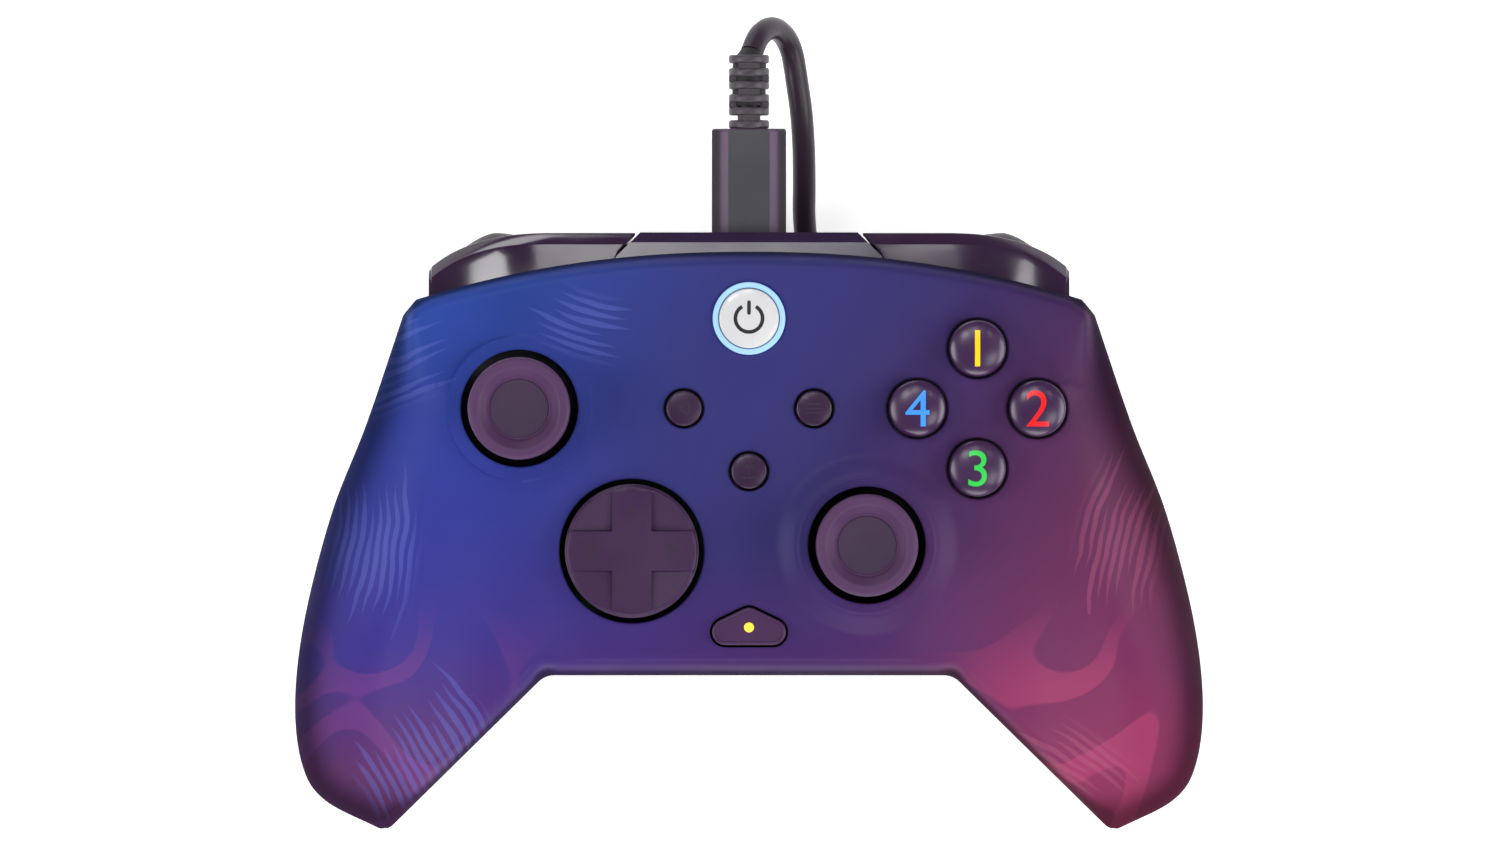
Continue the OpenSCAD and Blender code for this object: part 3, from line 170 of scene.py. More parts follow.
# Faces between rings of equal count
def ring_faces(rings, count):
    faces = []
    for i in range(rings - 1):
        a, b = i * count, (i + 1) * count
        for k in range(count):
            n = (k + 1) % count
            faces.append((a + k, a + n, b + n, b + k))
    return faces


# Closed loft through rings of equal count
def lofted(rows):
    m = len(rows[0])
    verts = [v for row in rows for v in row]
    ends = [tuple(range(m - 1, -1, -1)), tuple(range(len(verts) - m, len(verts)))]
    return verts, ring_faces(len(rows), m) + ends


# Turned shape: a profile of (radius, height) spun about an upright axis
def turned(profile, middle, segments=72):
    verts = []
    angles = np.linspace(0, 2 * math.pi, segments, endpoint=False)
    for r, z in profile:
        for a in angles:
            verts.append((middle[0] + r * math.cos(a), middle[1] + r * math.sin(a), z))
    return verts, ring_faces(len(profile), segments)


# Rounded line: its listed corners give way to curves, which take at most a share of each side
CORNER_SHARE = 0.49


def rounded(points, radii, steps=5):
    p = [np.array(q, float) for q in points]
    out = [p[0]]
    for i in range(1, len(p) - 1):
        r = radii.get(i, 0)
        if r <= 0:
            out.append(p[i])
            continue
        before, after = p[i - 1] - p[i], p[i + 1] - p[i]
        u, v = before / np.linalg.norm(before), after / np.linalg.norm(after)
        half = math.acos(np.clip(u @ v, -1, 1)) / 2
        shorter = min(np.linalg.norm(before), np.linalg.norm(after))
        reach = min(r / math.tan(half), CORNER_SHARE * shorter)
        a, b = p[i] + u * reach, p[i] + v * reach
        for k in range(steps + 1):
            t = k / steps
            out.append((1 - t) ** 2 * a + 2 * t * (1 - t) * p[i] + t**2 * b)
    out.append(p[-1])
    return [tuple(q) for q in out]


# Ring of a box with rounded corners, which starts in the middle of its lower side
def rounded_box(x0, x1, z0, z1, r, steps):
    start = ((x0 + x1) / 2, z0)
    corners = [start, (x1, z0), (x1, z1), (x0, z1), (x0, z0), start]
    return rounded(corners, {i: r for i in range(1, 5)}, steps)[:-1]


# Tube along a path with a radius at each point; its rings stay square to the path
def swept(path, radii, sides=16):
    p = np.asarray(path, float)
    along = np.gradient(p, axis=0)
    along /= np.linalg.norm(along, axis=1)[:, None]
    across = np.zeros_like(p)
    first = np.cross(along[0], (0.3, 0.1, 1.0))
    across[0] = first / np.linalg.norm(first)
    for i in range(1, len(p)):
        v = across[i - 1] - along[i] * (across[i - 1] @ along[i])
        across[i] = v / np.linalg.norm(v)
    up = np.cross(along, across)
    angles = [2 * math.pi * k / sides for k in range(sides)]
    rows = []
    for i in range(len(p)):
        rows.append([p[i] + radii[i] * (across[i] * math.cos(a) + up[i] * math.sin(a)) for a in angles])
    return lofted(rows)


# Ring of a section drawn in towards its middle, for a rounded end
def drawn_in(profile, by):
    middle = np.mean(profile, axis=0)
    return [tuple(np.array(p) + by * np.sign(middle - np.array(p))) for p in profile]


# Colours are written as they look on a screen, 0 to 255
def colour(r, g, b):
    def linear(c):
        c /= 255
        return c / 12.92 if c <= 0.04045 else ((c + 0.055) / 1.055) ** 2.4

    return (linear(r), linear(g), linear(b), 1.0)


# Wraps a node tree, so that a pattern reads as a row of plain steps
class Steps:
    def __init__(self, tree):
        self.tree = tree

    def put(self, socket, value):
        if isinstance(value, bpy.types.NodeSocket):
            self.tree.links.new(value, socket)
        elif value is not None:
            socket.default_value = value

    def node(self, kind, values=(), **settings):
        made = self.tree.nodes.new(kind)
        for name, value in settings.items():
            setattr(made, name, value)
        for name, value in dict(values).items():
            self.put(made.inputs[name], value)
        return made.outputs

    def place(self):
        where = self.node("ShaderNodeTexCoord")["Object"]
        return self.node("ShaderNodeSeparateXYZ", {"Vector": where})

    def maths(self, kind, a, b=None, clamp=False):
        return self.node("ShaderNodeMath", {0: a, 1: b}, operation=kind, use_clamp=clamp)[0]

    def step(self, value, low, high):
        given = {"Value": value, "From Min": low, "From Max": high}
        return self.node("ShaderNodeMapRange", given, interpolation_type="SMOOTHERSTEP")["Result"]

    def mix(self, share, a, b, kind="MIX"):
        given = {"Factor": share, "A": a, "B": b}
        return self.node("ShaderNodeMix", given, data_type="RGBA", blend_type=kind)["Result"]

    def noise(self, where, scale, detail=2.0, distortion=0.0):
        given = {"Vector": where, "Scale": scale, "Detail": detail, "Distortion": distortion}
        return self.node("ShaderNodeTexNoise", given)["Fac"]

    def ramp(self, value, stops):
        node = self.tree.nodes.new("ShaderNodeValToRGB")
        self.put(node.inputs["Fac"], value)
        elements = node.color_ramp.elements
        while len(elements) < len(stops):
            elements.new(0.5)
        for element, (at, shown) in zip(elements, stops):
            element.position = at
            element.color = shown
        return node.outputs["Color"]


# Empty shader group with numbers going in and coming out
def new_group(name, taken, given):
    group = bpy.data.node_groups.new(name, "ShaderNodeTree")
    for way, sockets in (("INPUT", taken), ("OUTPUT", given)):
        for socket in sockets:
            group.interface.new_socket(socket, in_out=way, socket_type="NodeSocketFloat")
    return group


# Shader group: fine grain of moulded plastic, as a height and as a slow change of sheen
def moulded_grain_group():
    group = new_group("Moulded grain", ("Grain scale", "Patch scale"), ("Height", "Patches"))
    do = Steps(group)
    given = do.node("NodeGroupInput")
    where = do.node("ShaderNodeTexCoord")["Object"]
    grain = do.noise(where, given["Grain scale"], 3)
    patches = do.noise(where, given["Patch scale"], 2)
    do.node("NodeGroupOutput", {"Height": grain, "Patches": patches})
    return group


GRAIN = moulded_grain_group()


# Starts a material with a Principled shader and returns its pieces
def new_material(name):
    made = bpy.data.materials.new(name)
    made.use_nodes = True
    tree = made.node_tree
    return made, tree, tree.nodes["Principled BSDF"]


# Joins the moulded grain to a shader: bump from the grain, roughness and tone from the slow patches
PATCH_SCALE = 90
BUMP_DEPTH = 0.0001
PATCH_RANGE = (0.3, 0.7)


def add_grain(tree, shader, base, rough, grain_scale, bump, tone=0.08, rough_swing=0.06):
    do = Steps(tree)
    scales = {"Grain scale": grain_scale, "Patch scale": PATCH_SCALE}
    grain = do.node("ShaderNodeGroup", scales, node_tree=GRAIN)
    height = do.node("ShaderNodeBump", {"Strength": bump, "Distance": BUMP_DEPTH, "Height": grain["Height"]})
    do.put(shader.inputs["Normal"], height["Normal"])
    low, high = PATCH_RANGE
    sheen = {"From Min": low, "From Max": high, "To Min": rough - rough_swing, "To Max": rough + rough_swing}
    spread = do.node("ShaderNodeMapRange", {"Value": grain["Patches"], **sheen})
    do.put(shader.inputs["Roughness"], spread["Result"])
    darker = tuple(c * (1 - tone) for c in base[:3]) + (1,)
    lighter = tuple(min(1, c * (1 + tone)) for c in base[:3]) + (1,)
    return do.mix(grain["Patches"], darker, lighter)


# Moulded plastic, rubber or metal of one colour with its grain
def moulded(
    name, base, rough, grain_scale=2200, bump=0.12, metallic=0.0, coat=0.0, coat_rough=0.05, specular=0.5
):
    made, tree, shader = new_material(name)
    shade = add_grain(tree, shader, base, rough, grain_scale, bump)
    tree.links.new(shade, shader.inputs["Base Color"])
    shader.inputs["Metallic"].default_value = metallic
    shader.inputs["Coat Weight"].default_value = coat
    shader.inputs["Coat Roughness"].default_value = coat_rough
    shader.inputs["Specular IOR Level"].default_value = specular
    return made


PLUM_GLOSS = moulded("plum_gloss", colour(52, 30, 60), 0.14, bump=0.02, coat=0.2)


# Bridge gloss that turns satin on the band past the crease
BRIDGE_CREASE = 49.0


def bridge_finish():
    made, tree, shader = new_material("bridge_gloss")
    shade = add_grain(tree, shader, colour(42, 20, 60), 0.14, 2200, 0.02)
    do = Steps(tree)
    do.put(shader.inputs["Base Color"], shade)
    gloss = do.step(do.place()["Y"], (BRIDGE_CREASE + 0.1) * MM, (BRIDGE_CREASE - 0.1) * MM)
    do.put(shader.inputs["Specular IOR Level"], do.maths("ADD", do.maths("MULTIPLY", gloss, 0.42), 0.08))
    do.put(shader.inputs["Coat Weight"], do.maths("MULTIPLY", gloss, 0.5))
    shader.inputs["Coat Roughness"].default_value = 0.05
    return made


# Plug flank: a painted highlight near the face, fading to painted shade towards its outer edge, from one
# distance off the middle to another
FLANK_PAINTED_SHADE = (3.9, 5.7)


def plug_flank_painted_light():
    made, tree, shader = new_material("plug_side_painted_light")
    # Painted highlight: the light purple of the flank next to the face
    shade = add_grain(tree, shader, colour(104, 82, 110), 0.32, 2200, 0.08)
    do = Steps(tree)
    aside = do.maths("ABSOLUTE", do.place()["X"])
    near, far = FLANK_PAINTED_SHADE
    # Painted shade: the flank darkens to near black towards its outer edge
    tone = do.mix(do.step(aside, near * MM, far * MM), shade, colour(32, 24, 34))
    do.put(shader.inputs["Base Color"], tone)
    shader.inputs["Specular IOR Level"].default_value = 0.2
    return made


BRIDGE_GLOSS = bridge_finish()
PLUG_SIDE = plug_flank_painted_light()
TRIGGER_SATIN = moulded("trigger_satin", colour(44, 31, 48), 0.42, bump=0.15, specular=0.2)
CASING_SATIN = moulded("casing_satin", colour(44, 27, 52), 0.45, bump=0.25)
STICK_RUBBER = moulded("stick_rubber", colour(84, 54, 92), 0.5, bump=0.2, specular=0.3)
STICK_DISC = moulded("stick_disc", colour(62, 44, 70), 0.55, bump=0.35, specular=0.3)
DPAD_SATIN = moulded("dpad_satin", colour(62, 36, 72), 0.4, bump=0.12, specular=0.35)
SMALL_SATIN = moulded("small_button_satin", colour(54, 32, 62), 0.3, bump=0.08, specular=0.4)
FUNCTION_SATIN = moulded("function_satin", colour(70, 40, 80), 0.42, bump=0.15, specular=0.35)
BUTTON_CLEAR = moulded("button_gloss", colour(62, 32, 74), 0.3, bump=0.0, coat=0.4, coat_rough=0.2)
MARK_FAINT = moulded("mark_faint", colour(46, 30, 54), 0.5, bump=0.1)
GUIDE_WHITE = moulded("guide_white", colour(222, 222, 224), 0.25, bump=0.02, coat=0.5)
GUIDE_MARK = moulded("guide_mark", colour(40, 40, 42), 0.35, bump=0.05)
PLUG_FACE = moulded("plug_face", colour(72, 71, 77), 0.42, bump=0.15)
CORD_RUBBER = moulded("cord_rubber", colour(56, 43, 57), 0.34, grain_scale=3500, bump=0.1, specular=0.3)
RELIEF_RUBBER = moulded("relief_rubber", colour(66, 60, 68), 0.4, bump=0.12)
TIE_CLOTH = moulded("tie_cloth", colour(36, 36, 40), 0.85, grain_scale=5000, bump=0.6)
STEEL = moulded("plain_steel", colour(190, 190, 195), 0.28, grain_scale=1200, bump=0.05, metallic=1.0)
BRASS_GREY = moulded("sintered_grey", colour(140, 136, 120), 0.5, metallic=0.8)
BOARD_GREEN = moulded("board_green", colour(28, 84, 52), 0.45)
CHIP_BLACK = moulded("chip_black", colour(26, 26, 28), 0.5)
SWITCH_GREY = moulded("switch_grey", colour(190, 190, 180), 0.5)
LEVER_WHITE = moulded("lever_white", colour(216, 216, 208), 0.45)
BRACKET_GREY = moulded("bracket_grey", colour(70, 70, 74), 0.5)
MEMBRANE = moulded("membrane_silicone", colour(140, 140, 146), 0.6)
# Plain black standing for painted shade in the gaps round the stick caps and in the slots of the strain
# relief
PAINTED_SHADE_BLACK = moulded("painted_shade_black", colour(14, 10, 16), 0.6)


# Glowing lens or ring: its own colour with a soft glow; the numerals take it too, and there the glow is
# painted light
def glowing(name, base, strength, rough=0.3):
    made, tree, shader = new_material(name)
    shade = add_grain(tree, shader, base, rough, 1500, 0.02, tone=0.04)
    tree.links.new(shade, shader.inputs["Base Color"])
    tree.links.new(shade, shader.inputs["Emission Color"])
    shader.inputs["Emission Strength"].default_value = strength
    return made


AMBER = glowing("amber_lens", colour(250, 200, 60), 0.7)
RING_GLOW = glowing("ring_glow", colour(160, 204, 248), 0.25)
# Numerals, which are no lamps: their soft glow is painted light
NUMERAL_PAINTED_GLOWS = {
    "top": glowing("numeral_yellow", colour(250, 196, 22), 0.35),
    "left": glowing("numeral_blue", colour(62, 140, 235), 0.35),
    "right": glowing("numeral_red", colour(235, 28, 30), 0.35),
    "bottom": glowing("numeral_green", colour(44, 190, 72), 0.35),
}


# Plug at the pad: a rounded bar with a broad flat face and flanks with a painted highlight and painted shade
PLUG_W = 12.6
PLUG_T = 7.0
PLUG_ROUND = 0.4
PLUG_FACE_HALF = 3.5
PLUG_BEVEL = (1.4, 0.65)
PLUG_SIDE_DROP = 2.4
PLUG_FRONT = 46.2
PLUG_END = 68.3
PORT_Z = 29.65


def plug_body():
    w, t = PLUG_W / 2, PLUG_T / 2
    upper = [(w, t - PLUG_SIDE_DROP), (w - PLUG_BEVEL[0], t - PLUG_BEVEL[1]), (PLUG_FACE_HALF, t)]
    right = [(0, -t)] + [(x, -z) for x, z in reversed(upper)] + upper
    loop = right + [(-x, z) for x, z in reversed(right)]
    section = rounded(loop, {corner: PLUG_ROUND for corner in range(1, len(loop) - 1)}, 4)[:-1]
    stations = [
        (PLUG_FRONT, 0.4), (PLUG_FRONT + 0.4, 0), (PLUG_FRONT + 0.6, 0),
        (PLUG_END - 0.6, 0), (PLUG_END - 0.4, 0),
        (PLUG_END - 0.12, 0.12), (PLUG_END, 0.4),
    ]
    rows = [[(x, y, PORT_Z + z) for x, z in drawn_in(section, inset)] for y, inset in stations]
    verts, faces = lofted(rows)
    finishes = [PLUG_SIDE, PLUG_FACE]
    piece = finish_piece(
        "plug_body_skin", verts, faces, finishes, "cable", "plug", ["usb_plug_body"], sharp=50
    )
    for f in piece.data.polygons:
        if f.center.z > (PORT_Z + t - 0.2) * MM and abs(f.center.x) < PLUG_FACE_HALF * MM:
            f.material_index = 1
    return piece


# Path of the cable: a half turn out of the strain relief, a stretch back under the pad, a coil and a tail
CORD_R = 1.95
TURN_Y = PLUG_END + 9.05
TURN_ACROSS = np.array((7.8, 0, -14))
TURN_RISE = 8
RELIEF_BEND = 28.7


def turn_point(degrees):
    a = math.radians(degrees)
    ahead = np.array((0, TURN_RISE * math.sin(a), 0))
    return np.array((0, TURN_Y, PORT_Z)) + TURN_ACROSS * (1 - math.cos(a)) / 2 + ahead


COIL_AT = (-8, 12.2)
COIL_R = 33.2
COIL_PITCH = 4.31
COIL_TURNS = 5
COIL_END = 19.8
COIL_STEPS = 32
COIL_BOTTOM = 0.8
CLIMB_TURNS = (5, 10, 15)
CLIMB_HALF = 0.25


def coil_way(s):
    a = 2 * math.pi * s
    return np.array((-math.sin(a), -math.cos(a), 0))


def coil_point(s):
    part = s % (2 * COIL_TURNS)
    r = COIL_R - COIL_PITCH * min(part, 2 * COIL_TURNS - part)
    climbs = sum(ease(turn - CLIMB_HALF, turn + CLIMB_HALF, s) for turn in CLIMB_TURNS)
    a = 2 * math.pi * s
    height = COIL_BOTTOM + CORD_R + COIL_PITCH * climbs
    return np.array((COIL_AT[0] + r * math.cos(a), COIL_AT[1] - r * math.sin(a), height))


def cable_path():
    lead = [
        turn_point(RELIEF_BEND), (1.4, 83.5, 27.2), (2.6, 84.9, 25), (3.9, 85.4, 22.6), (5.2, 84.9, 20.3),
        (6.4, 83.5, 18.1), (7.3, 81.3, 16.6), (7.8, 78.7, 15.8), (8.2, 76, 15.4), (8.9, 71, 14.2),
        (9.3, 65, 11.6), (9.4, 59, 8), (9.4, 53.5, 4.6), (9.9, 49, 2.6), (11.4, 44.5, 2), (14.8, 39, 2),
        (19, 33.5, 2),
        (22.6, 26.7, 2.1), (24.7, 21, 2.5), coil_point(0) - coil_way(0) * 2 * CORD_R,
    ]
    tail = [
        coil_point(COIL_END) + coil_way(COIL_END) * 2 * CORD_R, (12, 39.7, 15.1), (18, 37.6, 13.6),
        (23.6, 34.7, 11.4), (28.2, 31.2, 9), (31.8, 27.5, 6.9), (34.7, 23.9, 5.3), (36.7, 20.4, 4.3),
        (37.5, 17, 4),
    ]
    coil = [coil_point(i / COIL_STEPS) for i in range(int(COIL_END * COIL_STEPS) + 1)]
    return np.vstack([smooth_curve(lead, 4)[:-1], lead[-1:], coil, tail[:1], smooth_curve(tail, 4)[1:]])


# Geometry Nodes tree: a sleeve of rings along a path, with slots between them
# Two bridges span each slot and turn by a quarter from slot to slot
def slotted_sleeve_tree(material):
    tree = bpy.data.node_groups.new("Slotted sleeve", "GeometryNodeTree")
    tree.interface.new_socket("Path", in_out="INPUT", socket_type="NodeSocketGeometry")
    tree.interface.new_socket("Rings", in_out="INPUT", socket_type="NodeSocketInt")
    for name in ("Outer radius", "Core radius", "Ring thickness", "Bridge width", "Bridge length", "Edge"):
        tree.interface.new_socket(name, in_out="INPUT", socket_type="NodeSocketFloat")
    tree.interface.new_socket("Sleeve", in_out="OUTPUT", socket_type="NodeSocketGeometry")
    do = Steps(tree)
    given = tree.nodes.new("NodeGroupInput").outputs
    result = tree.nodes.new("NodeGroupOutput")

    width = do.maths("SUBTRACT", given["Outer radius"], given["Core radius"])
    middle = do.maths("ADD", given["Core radius"], do.maths("MULTIPLY", width, 0.5))
    sides = {"Width": width, "Height": given["Ring thickness"]}
    flat = do.node("GeometryNodeCurvePrimitiveQuadrilateral", sides)["Curve"]
    fillet = {"Curve": flat, "Radius": given["Edge"], "Count": 3}
    soft = do.node("GeometryNodeFilletCurve", fillet, mode="POLY")["Curve"]
    round_way = do.node("GeometryNodeCurvePrimitiveCircle", {"Resolution": 48, "Radius": middle})["Curve"]
    ring = do.node("GeometryNodeCurveToMesh", {"Curve": round_way, "Profile Curve": soft})["Mesh"]
    bridge_size = {"X": width, "Y": given["Bridge width"], "Z": given["Bridge length"]}
    size = do.node("ShaderNodeCombineXYZ", bridge_size)
    block = do.node("GeometryNodeMeshCube", {"Size": size["Vector"]})["Mesh"]
    bridges = tree.nodes.new("GeometryNodeJoinGeometry")
    for sign in (-1, 1):
        aside = do.node("ShaderNodeCombineXYZ", {"X": do.maths("MULTIPLY", middle, sign)})["Vector"]
        moved = do.node("GeometryNodeTransform", {"Geometry": block, "Translation": aside})["Geometry"]
        do.put(bridges.inputs["Geometry"], moved)

    path = do.node("GeometryNodeMeshToCurve", {"Mesh": given["Path"]})["Curve"]
    count = do.maths("SUBTRACT", do.maths("MULTIPLY", given["Rings"], 2), 1)
    stops = do.node("GeometryNodeCurveToPoints", {"Curve": path, "Count": count}, mode="COUNT")
    ahead = do.node("FunctionNodeAlignRotationToVector", {"Vector": stops["Tangent"]}, axis="Z")["Rotation"]
    sideways = {"Rotation": ahead, "Vector": (1, 0, 0)}
    level = do.node("FunctionNodeAlignRotationToVector", sideways, axis="X", pivot_axis="Z")["Rotation"]
    index = do.node("GeometryNodeInputIndex")["Index"]
    odd = do.maths("MODULO", index, 2)
    angle = do.maths("MULTIPLY", do.maths("SUBTRACT", 3, do.maths("MODULO", index, 4)), math.pi / 4)
    quarter = do.node("FunctionNodeAxisAngleToRotation", {"Axis": (0, 0, 1), "Angle": angle})["Rotation"]
    crossed = do.node(
        "FunctionNodeRotateRotation", {"Rotation": level, "Rotate By": quarter}, rotation_space="LOCAL"
    )["Rotation"]
    sleeve = tree.nodes.new("GeometryNodeJoinGeometry")
    for shape, chosen, turn in (
        (ring, do.maths("SUBTRACT", 1, odd), level), (bridges.outputs["Geometry"], odd, crossed),
    ):
        placed = do.node("GeometryNodeInstanceOnPoints", {
            "Points": stops["Points"], "Selection": chosen, "Instance": shape, "Rotation": turn,
        })["Instances"]
        do.put(sleeve.inputs["Geometry"], placed)
    core_size = {"Resolution": 32, "Radius": given["Core radius"]}
    core_ring = do.node("GeometryNodeCurvePrimitiveCircle", core_size)["Curve"]
    along = {"Curve": path, "Profile Curve": core_ring, "Fill Caps": True}
    core = do.node("GeometryNodeCurveToMesh", along)["Mesh"]
    do.put(sleeve.inputs["Geometry"], core)
    whole = do.node("GeometryNodeRealizeInstances", {"Geometry": sleeve.outputs["Geometry"]})["Geometry"]
    finished = do.node("GeometryNodeSetMaterial", {"Geometry": whole, "Material": material})["Geometry"]
    do.put(result.inputs["Sleeve"], finished)
    return tree


# Takes the evaluated mesh of a carrier, which is then removed
def evaluated(carrier):
    bpy.context.view_layer.update()
    shown = carrier.evaluated_get(bpy.context.evaluated_depsgraph_get())
    mesh = bpy.data.meshes.new_from_object(shown)
    bpy.data.objects.remove(carrier)
    return mesh


# Runs a Geometry Nodes tree on a line of points and returns the plain mesh
def grown_along(name, path, tree, values):
    line = bpy.data.meshes.new(name)
    line.from_pydata([tuple(p * MM) for p in path], [(i, i + 1) for i in range(len(path) - 1)], [])
    carrier = added(name + "_carrier", line)
    grown = carrier.modifiers.new(name, "NODES")
    grown.node_group = tree
    for item in tree.interface.items_tree:
        if item.name in values:
            grown[item.identifier] = values[item.name]
    mesh = evaluated(carrier)
    mesh.materials.clear()
    return mesh


RELIEF_R = 3.4
RELIEF_CORE_R = 1.95
RELIEF_RINGS = 6
RELIEF_RING_T = 1.45
RELIEF_BRIDGE_W = 3.6
RELIEF_SLOT = 1.0
RELIEF_LEN = 12.5
RELIEF_FILL_R = 2.85
RELIEF_FILL_START = 3.2
RELIEF_FILL_OVER = 0.03
RELIEF_EDGE = 0.35


def strain_relief():
    start = np.array((0, PLUG_END + RELIEF_RING_T / 2, PORT_Z))
    end = np.array((0, PLUG_END + RELIEF_LEN - RELIEF_RING_T / 2, PORT_Z))
    values = {
        "Rings": RELIEF_RINGS, "Outer radius": RELIEF_R * MM, "Core radius": RELIEF_CORE_R * MM,
        "Ring thickness": RELIEF_RING_T * MM, "Bridge width": RELIEF_BRIDGE_W * MM,
        "Bridge length": RELIEF_SLOT * MM, "Edge": RELIEF_EDGE * MM,
    }
    bend = np.linspace(0, RELIEF_BEND, 8)
    fill = np.vstack([start + (0, RELIEF_FILL_START, 0)] + [turn_point(a) for a in bend])
    narrowing = ease(RELIEF_BEND / 2, RELIEF_BEND, bend)
    fill_r = [RELIEF_FILL_R] + list(blend(RELIEF_FILL_R, CORD_R + RELIEF_FILL_OVER, narrowing))
    # The fill is black, as painted shade in the relief's slots; its tail tapers over the bend
    core = finish_piece("plug_relief_fill", *swept(fill, fill_r, 32), PAINTED_SHADE_BLACK, "cable", "cord", sharp=60)
    mesh = grown_along("plug_relief", [start, end], slotted_sleeve_tree(RELIEF_RUBBER), values)
    sleeve = finish_mesh("plug_relief_skin", mesh, RELIEF_RUBBER, "cable", ["plug_relief"], sharp=40)
    return [core, sleeve]


# Tie round the coil: a soft band with rounded edges, as (place along y, inset) for each ring
TIE_BOTTOM = 0.3
TIE_CLEAR = 0.5
TIE_SLACK = 1.5
TIE_ROUND = 2
TIE_LAYERS = 3
TIE_RINGS = [(-4, 0.15), (-3.8, -0.25), (3.8, -0.25), (4, 0.15), (3.8, 0.25), (-3.8, 0.25), (-4, 0.15)]


def cable_tie():
    x0 = COIL_AT[0] - COIL_R - CORD_R - TIE_CLEAR
    x1 = COIL_AT[0] - COIL_R + COIL_TURNS * COIL_PITCH + CORD_R + TIE_SLACK
    top = COIL_BOTTOM + TIE_LAYERS * COIL_PITCH + 2 * CORD_R + TIE_CLEAR
    loop = rounded_box(x0, x1, TIE_BOTTOM, top, TIE_ROUND, 6)
    rows = [[(x, COIL_AT[1] + y, z) for x, z in drawn_in(loop, inset)] for y, inset in TIE_RINGS]
    verts = [v for row in rows[:-1] for v in row]
    faces = [tuple(i % len(verts) for i in f) for f in ring_faces(len(rows), len(loop))]
    return finish_piece("cable_tie_skin", verts, faces, TIE_CLOTH, "cable", "tie", ["cable_tie"], sharp=60)


# Far plug: a tapered relief, a rounded body and its metal shell
# The relief is listed as (distance back, radius) and the body as (distance back, inset)
HOST = (37.5, 17.0, 4.0)
HOST_RELIEF = [(0, 2.4), (0.4, 2.6), (4, 3.0), (7.6, 3.5), (8, 3.5)]
HOST_HALF = (7.8, 4.0)
HOST_ROUND = 2.6
HOST_BODY = [(8, 0.8), (8.6, 0.2), (9.4, 0), (27.4, 0), (28, 0.5)]


def host_plug():
    x, y, z = HOST
    path = [(x, y - back, z) for back, _ in HOST_RELIEF]
    verts, faces = swept(path, [r for _, r in HOST_RELIEF], 24)
    relief = finish_piece(
        "host_relief_skin", verts, faces, RELIEF_RUBBER, "cable", "cord", ["host_plug_relief"]
    )
    w, t = HOST_HALF
    loop = rounded_box(-w, w, -t, t, HOST_ROUND, 8)
    rows = [[(x + u, y - back, z + v) for u, v in drawn_in(loop, inset)] for back, inset in HOST_BODY]
    verts, faces = lofted(rows)
    body = finish_piece(
        "host_body_skin", verts, faces, PLUG_FACE, "cable", "plug", ["host_plug_body"], sharp=50
    )
    return [relief, body]


cord_route = cable_path()
verts, faces = swept(cord_route, [CORD_R] * len(cord_route), 16)
cord_solids = ["cable_lead", "cable_coil", "cable_tail"]
cord = finish_piece("cable_cord", verts, faces, CORD_RUBBER, "cable", "cord", cord_solids, sharp=80)
cord_pieces = [plug_body(), cable_tie()] + strain_relief() + host_plug()
cord_pieces += [nodes["usb_plug_tongue"], nodes["host_plug_shell"]]


# The faceplate falls gently to the sides and droops along the grips
CROWN_FALL = 2
CROWN_X = 50
DROOP_FROM = -8
DROOP_SOFT = 6
DROOP_SLOPE = 0.5
DROOP_SIDES = (25, 50)
DROOP_MIDDLE = 0.25


def droop(y):
    return DROOP_SLOPE * DROOP_SOFT * np.log1p(np.exp((DROOP_FROM - y) / DROOP_SOFT))


def crown(x, y):
    share = blend(DROOP_MIDDLE, 1, ease(*DROOP_SIDES, np.abs(x)))
    return FACE_Z - CROWN_FALL * (x / CROWN_X) ** 2 - droop(y) * share


# Level of the faceplate at a control
def level_at(at):
    return float(crown(*np.array(at)))


# The underside and the seam sink towards the grips, between these places along y and x
BELLY_SINK = ((8, -26), (36, GRIP_X - 21))
SEAM_SINK = ((30, -25), (30, 62))
SEAM_DROP = 18


def belly(x, y):
    along, aside = BELLY_SINK
    return BELLY_Z * (1 - ease(*along, y) * ease(*aside, np.abs(x)))


def seam(x, y):
    along, aside = SEAM_SINK
    return SEAM_Z - SEAM_DROP * ease(*along, y) * ease(*aside, np.abs(x))


def slot_share(x, y):
    return np.where(y > 25, ease(SHOULDER_X + 1.8, SHOULDER_X + 0.2, np.abs(x)), 0)


def top_edge(x):
    return TOP_REACH - TOP_FALL * (np.abs(x) / SHOULDER_X) ** 2.2


# Right half of the casing's outline, as four edges: top, side, slant and notch
SHOULDER_Y = TOP_REACH - TOP_FALL
SIDE_KEYS = [
    (SHOULDER_X + 2.2, SHOULDER_Y - 2.5),
    (blend(SHOULDER_X, GRIP_X - 6.3, 0.58), 18.5),
    (GRIP_X - 6.3, 3),
    (GRIP_X - 1.6, -15),
    (GRIP_X, -29),
    (GRIP_X - 1.2, -TIP_REACH + 11),
    (GRIP_X - 5, -TIP_REACH + 5),
    (TIP_X + 1.4, -TIP_REACH + 0.1),
]
INNER_TIP = (TIP_X - 1, -TIP_REACH + 0.9)
NOTCH_ROUND = 1.6
OUTLINE_STEP = 0.7


def corner_arc(before, corner, after, reach, steps=6):
    a = corner + (before - corner) / np.linalg.norm(before - corner) * reach
    b = corner + (after - corner) / np.linalg.norm(after - corner) * reach
    t = np.linspace(0, 1, steps + 1)[:, None]
    return (1 - t) ** 2 * a + 2 * t * (1 - t) * corner + t**2 * b


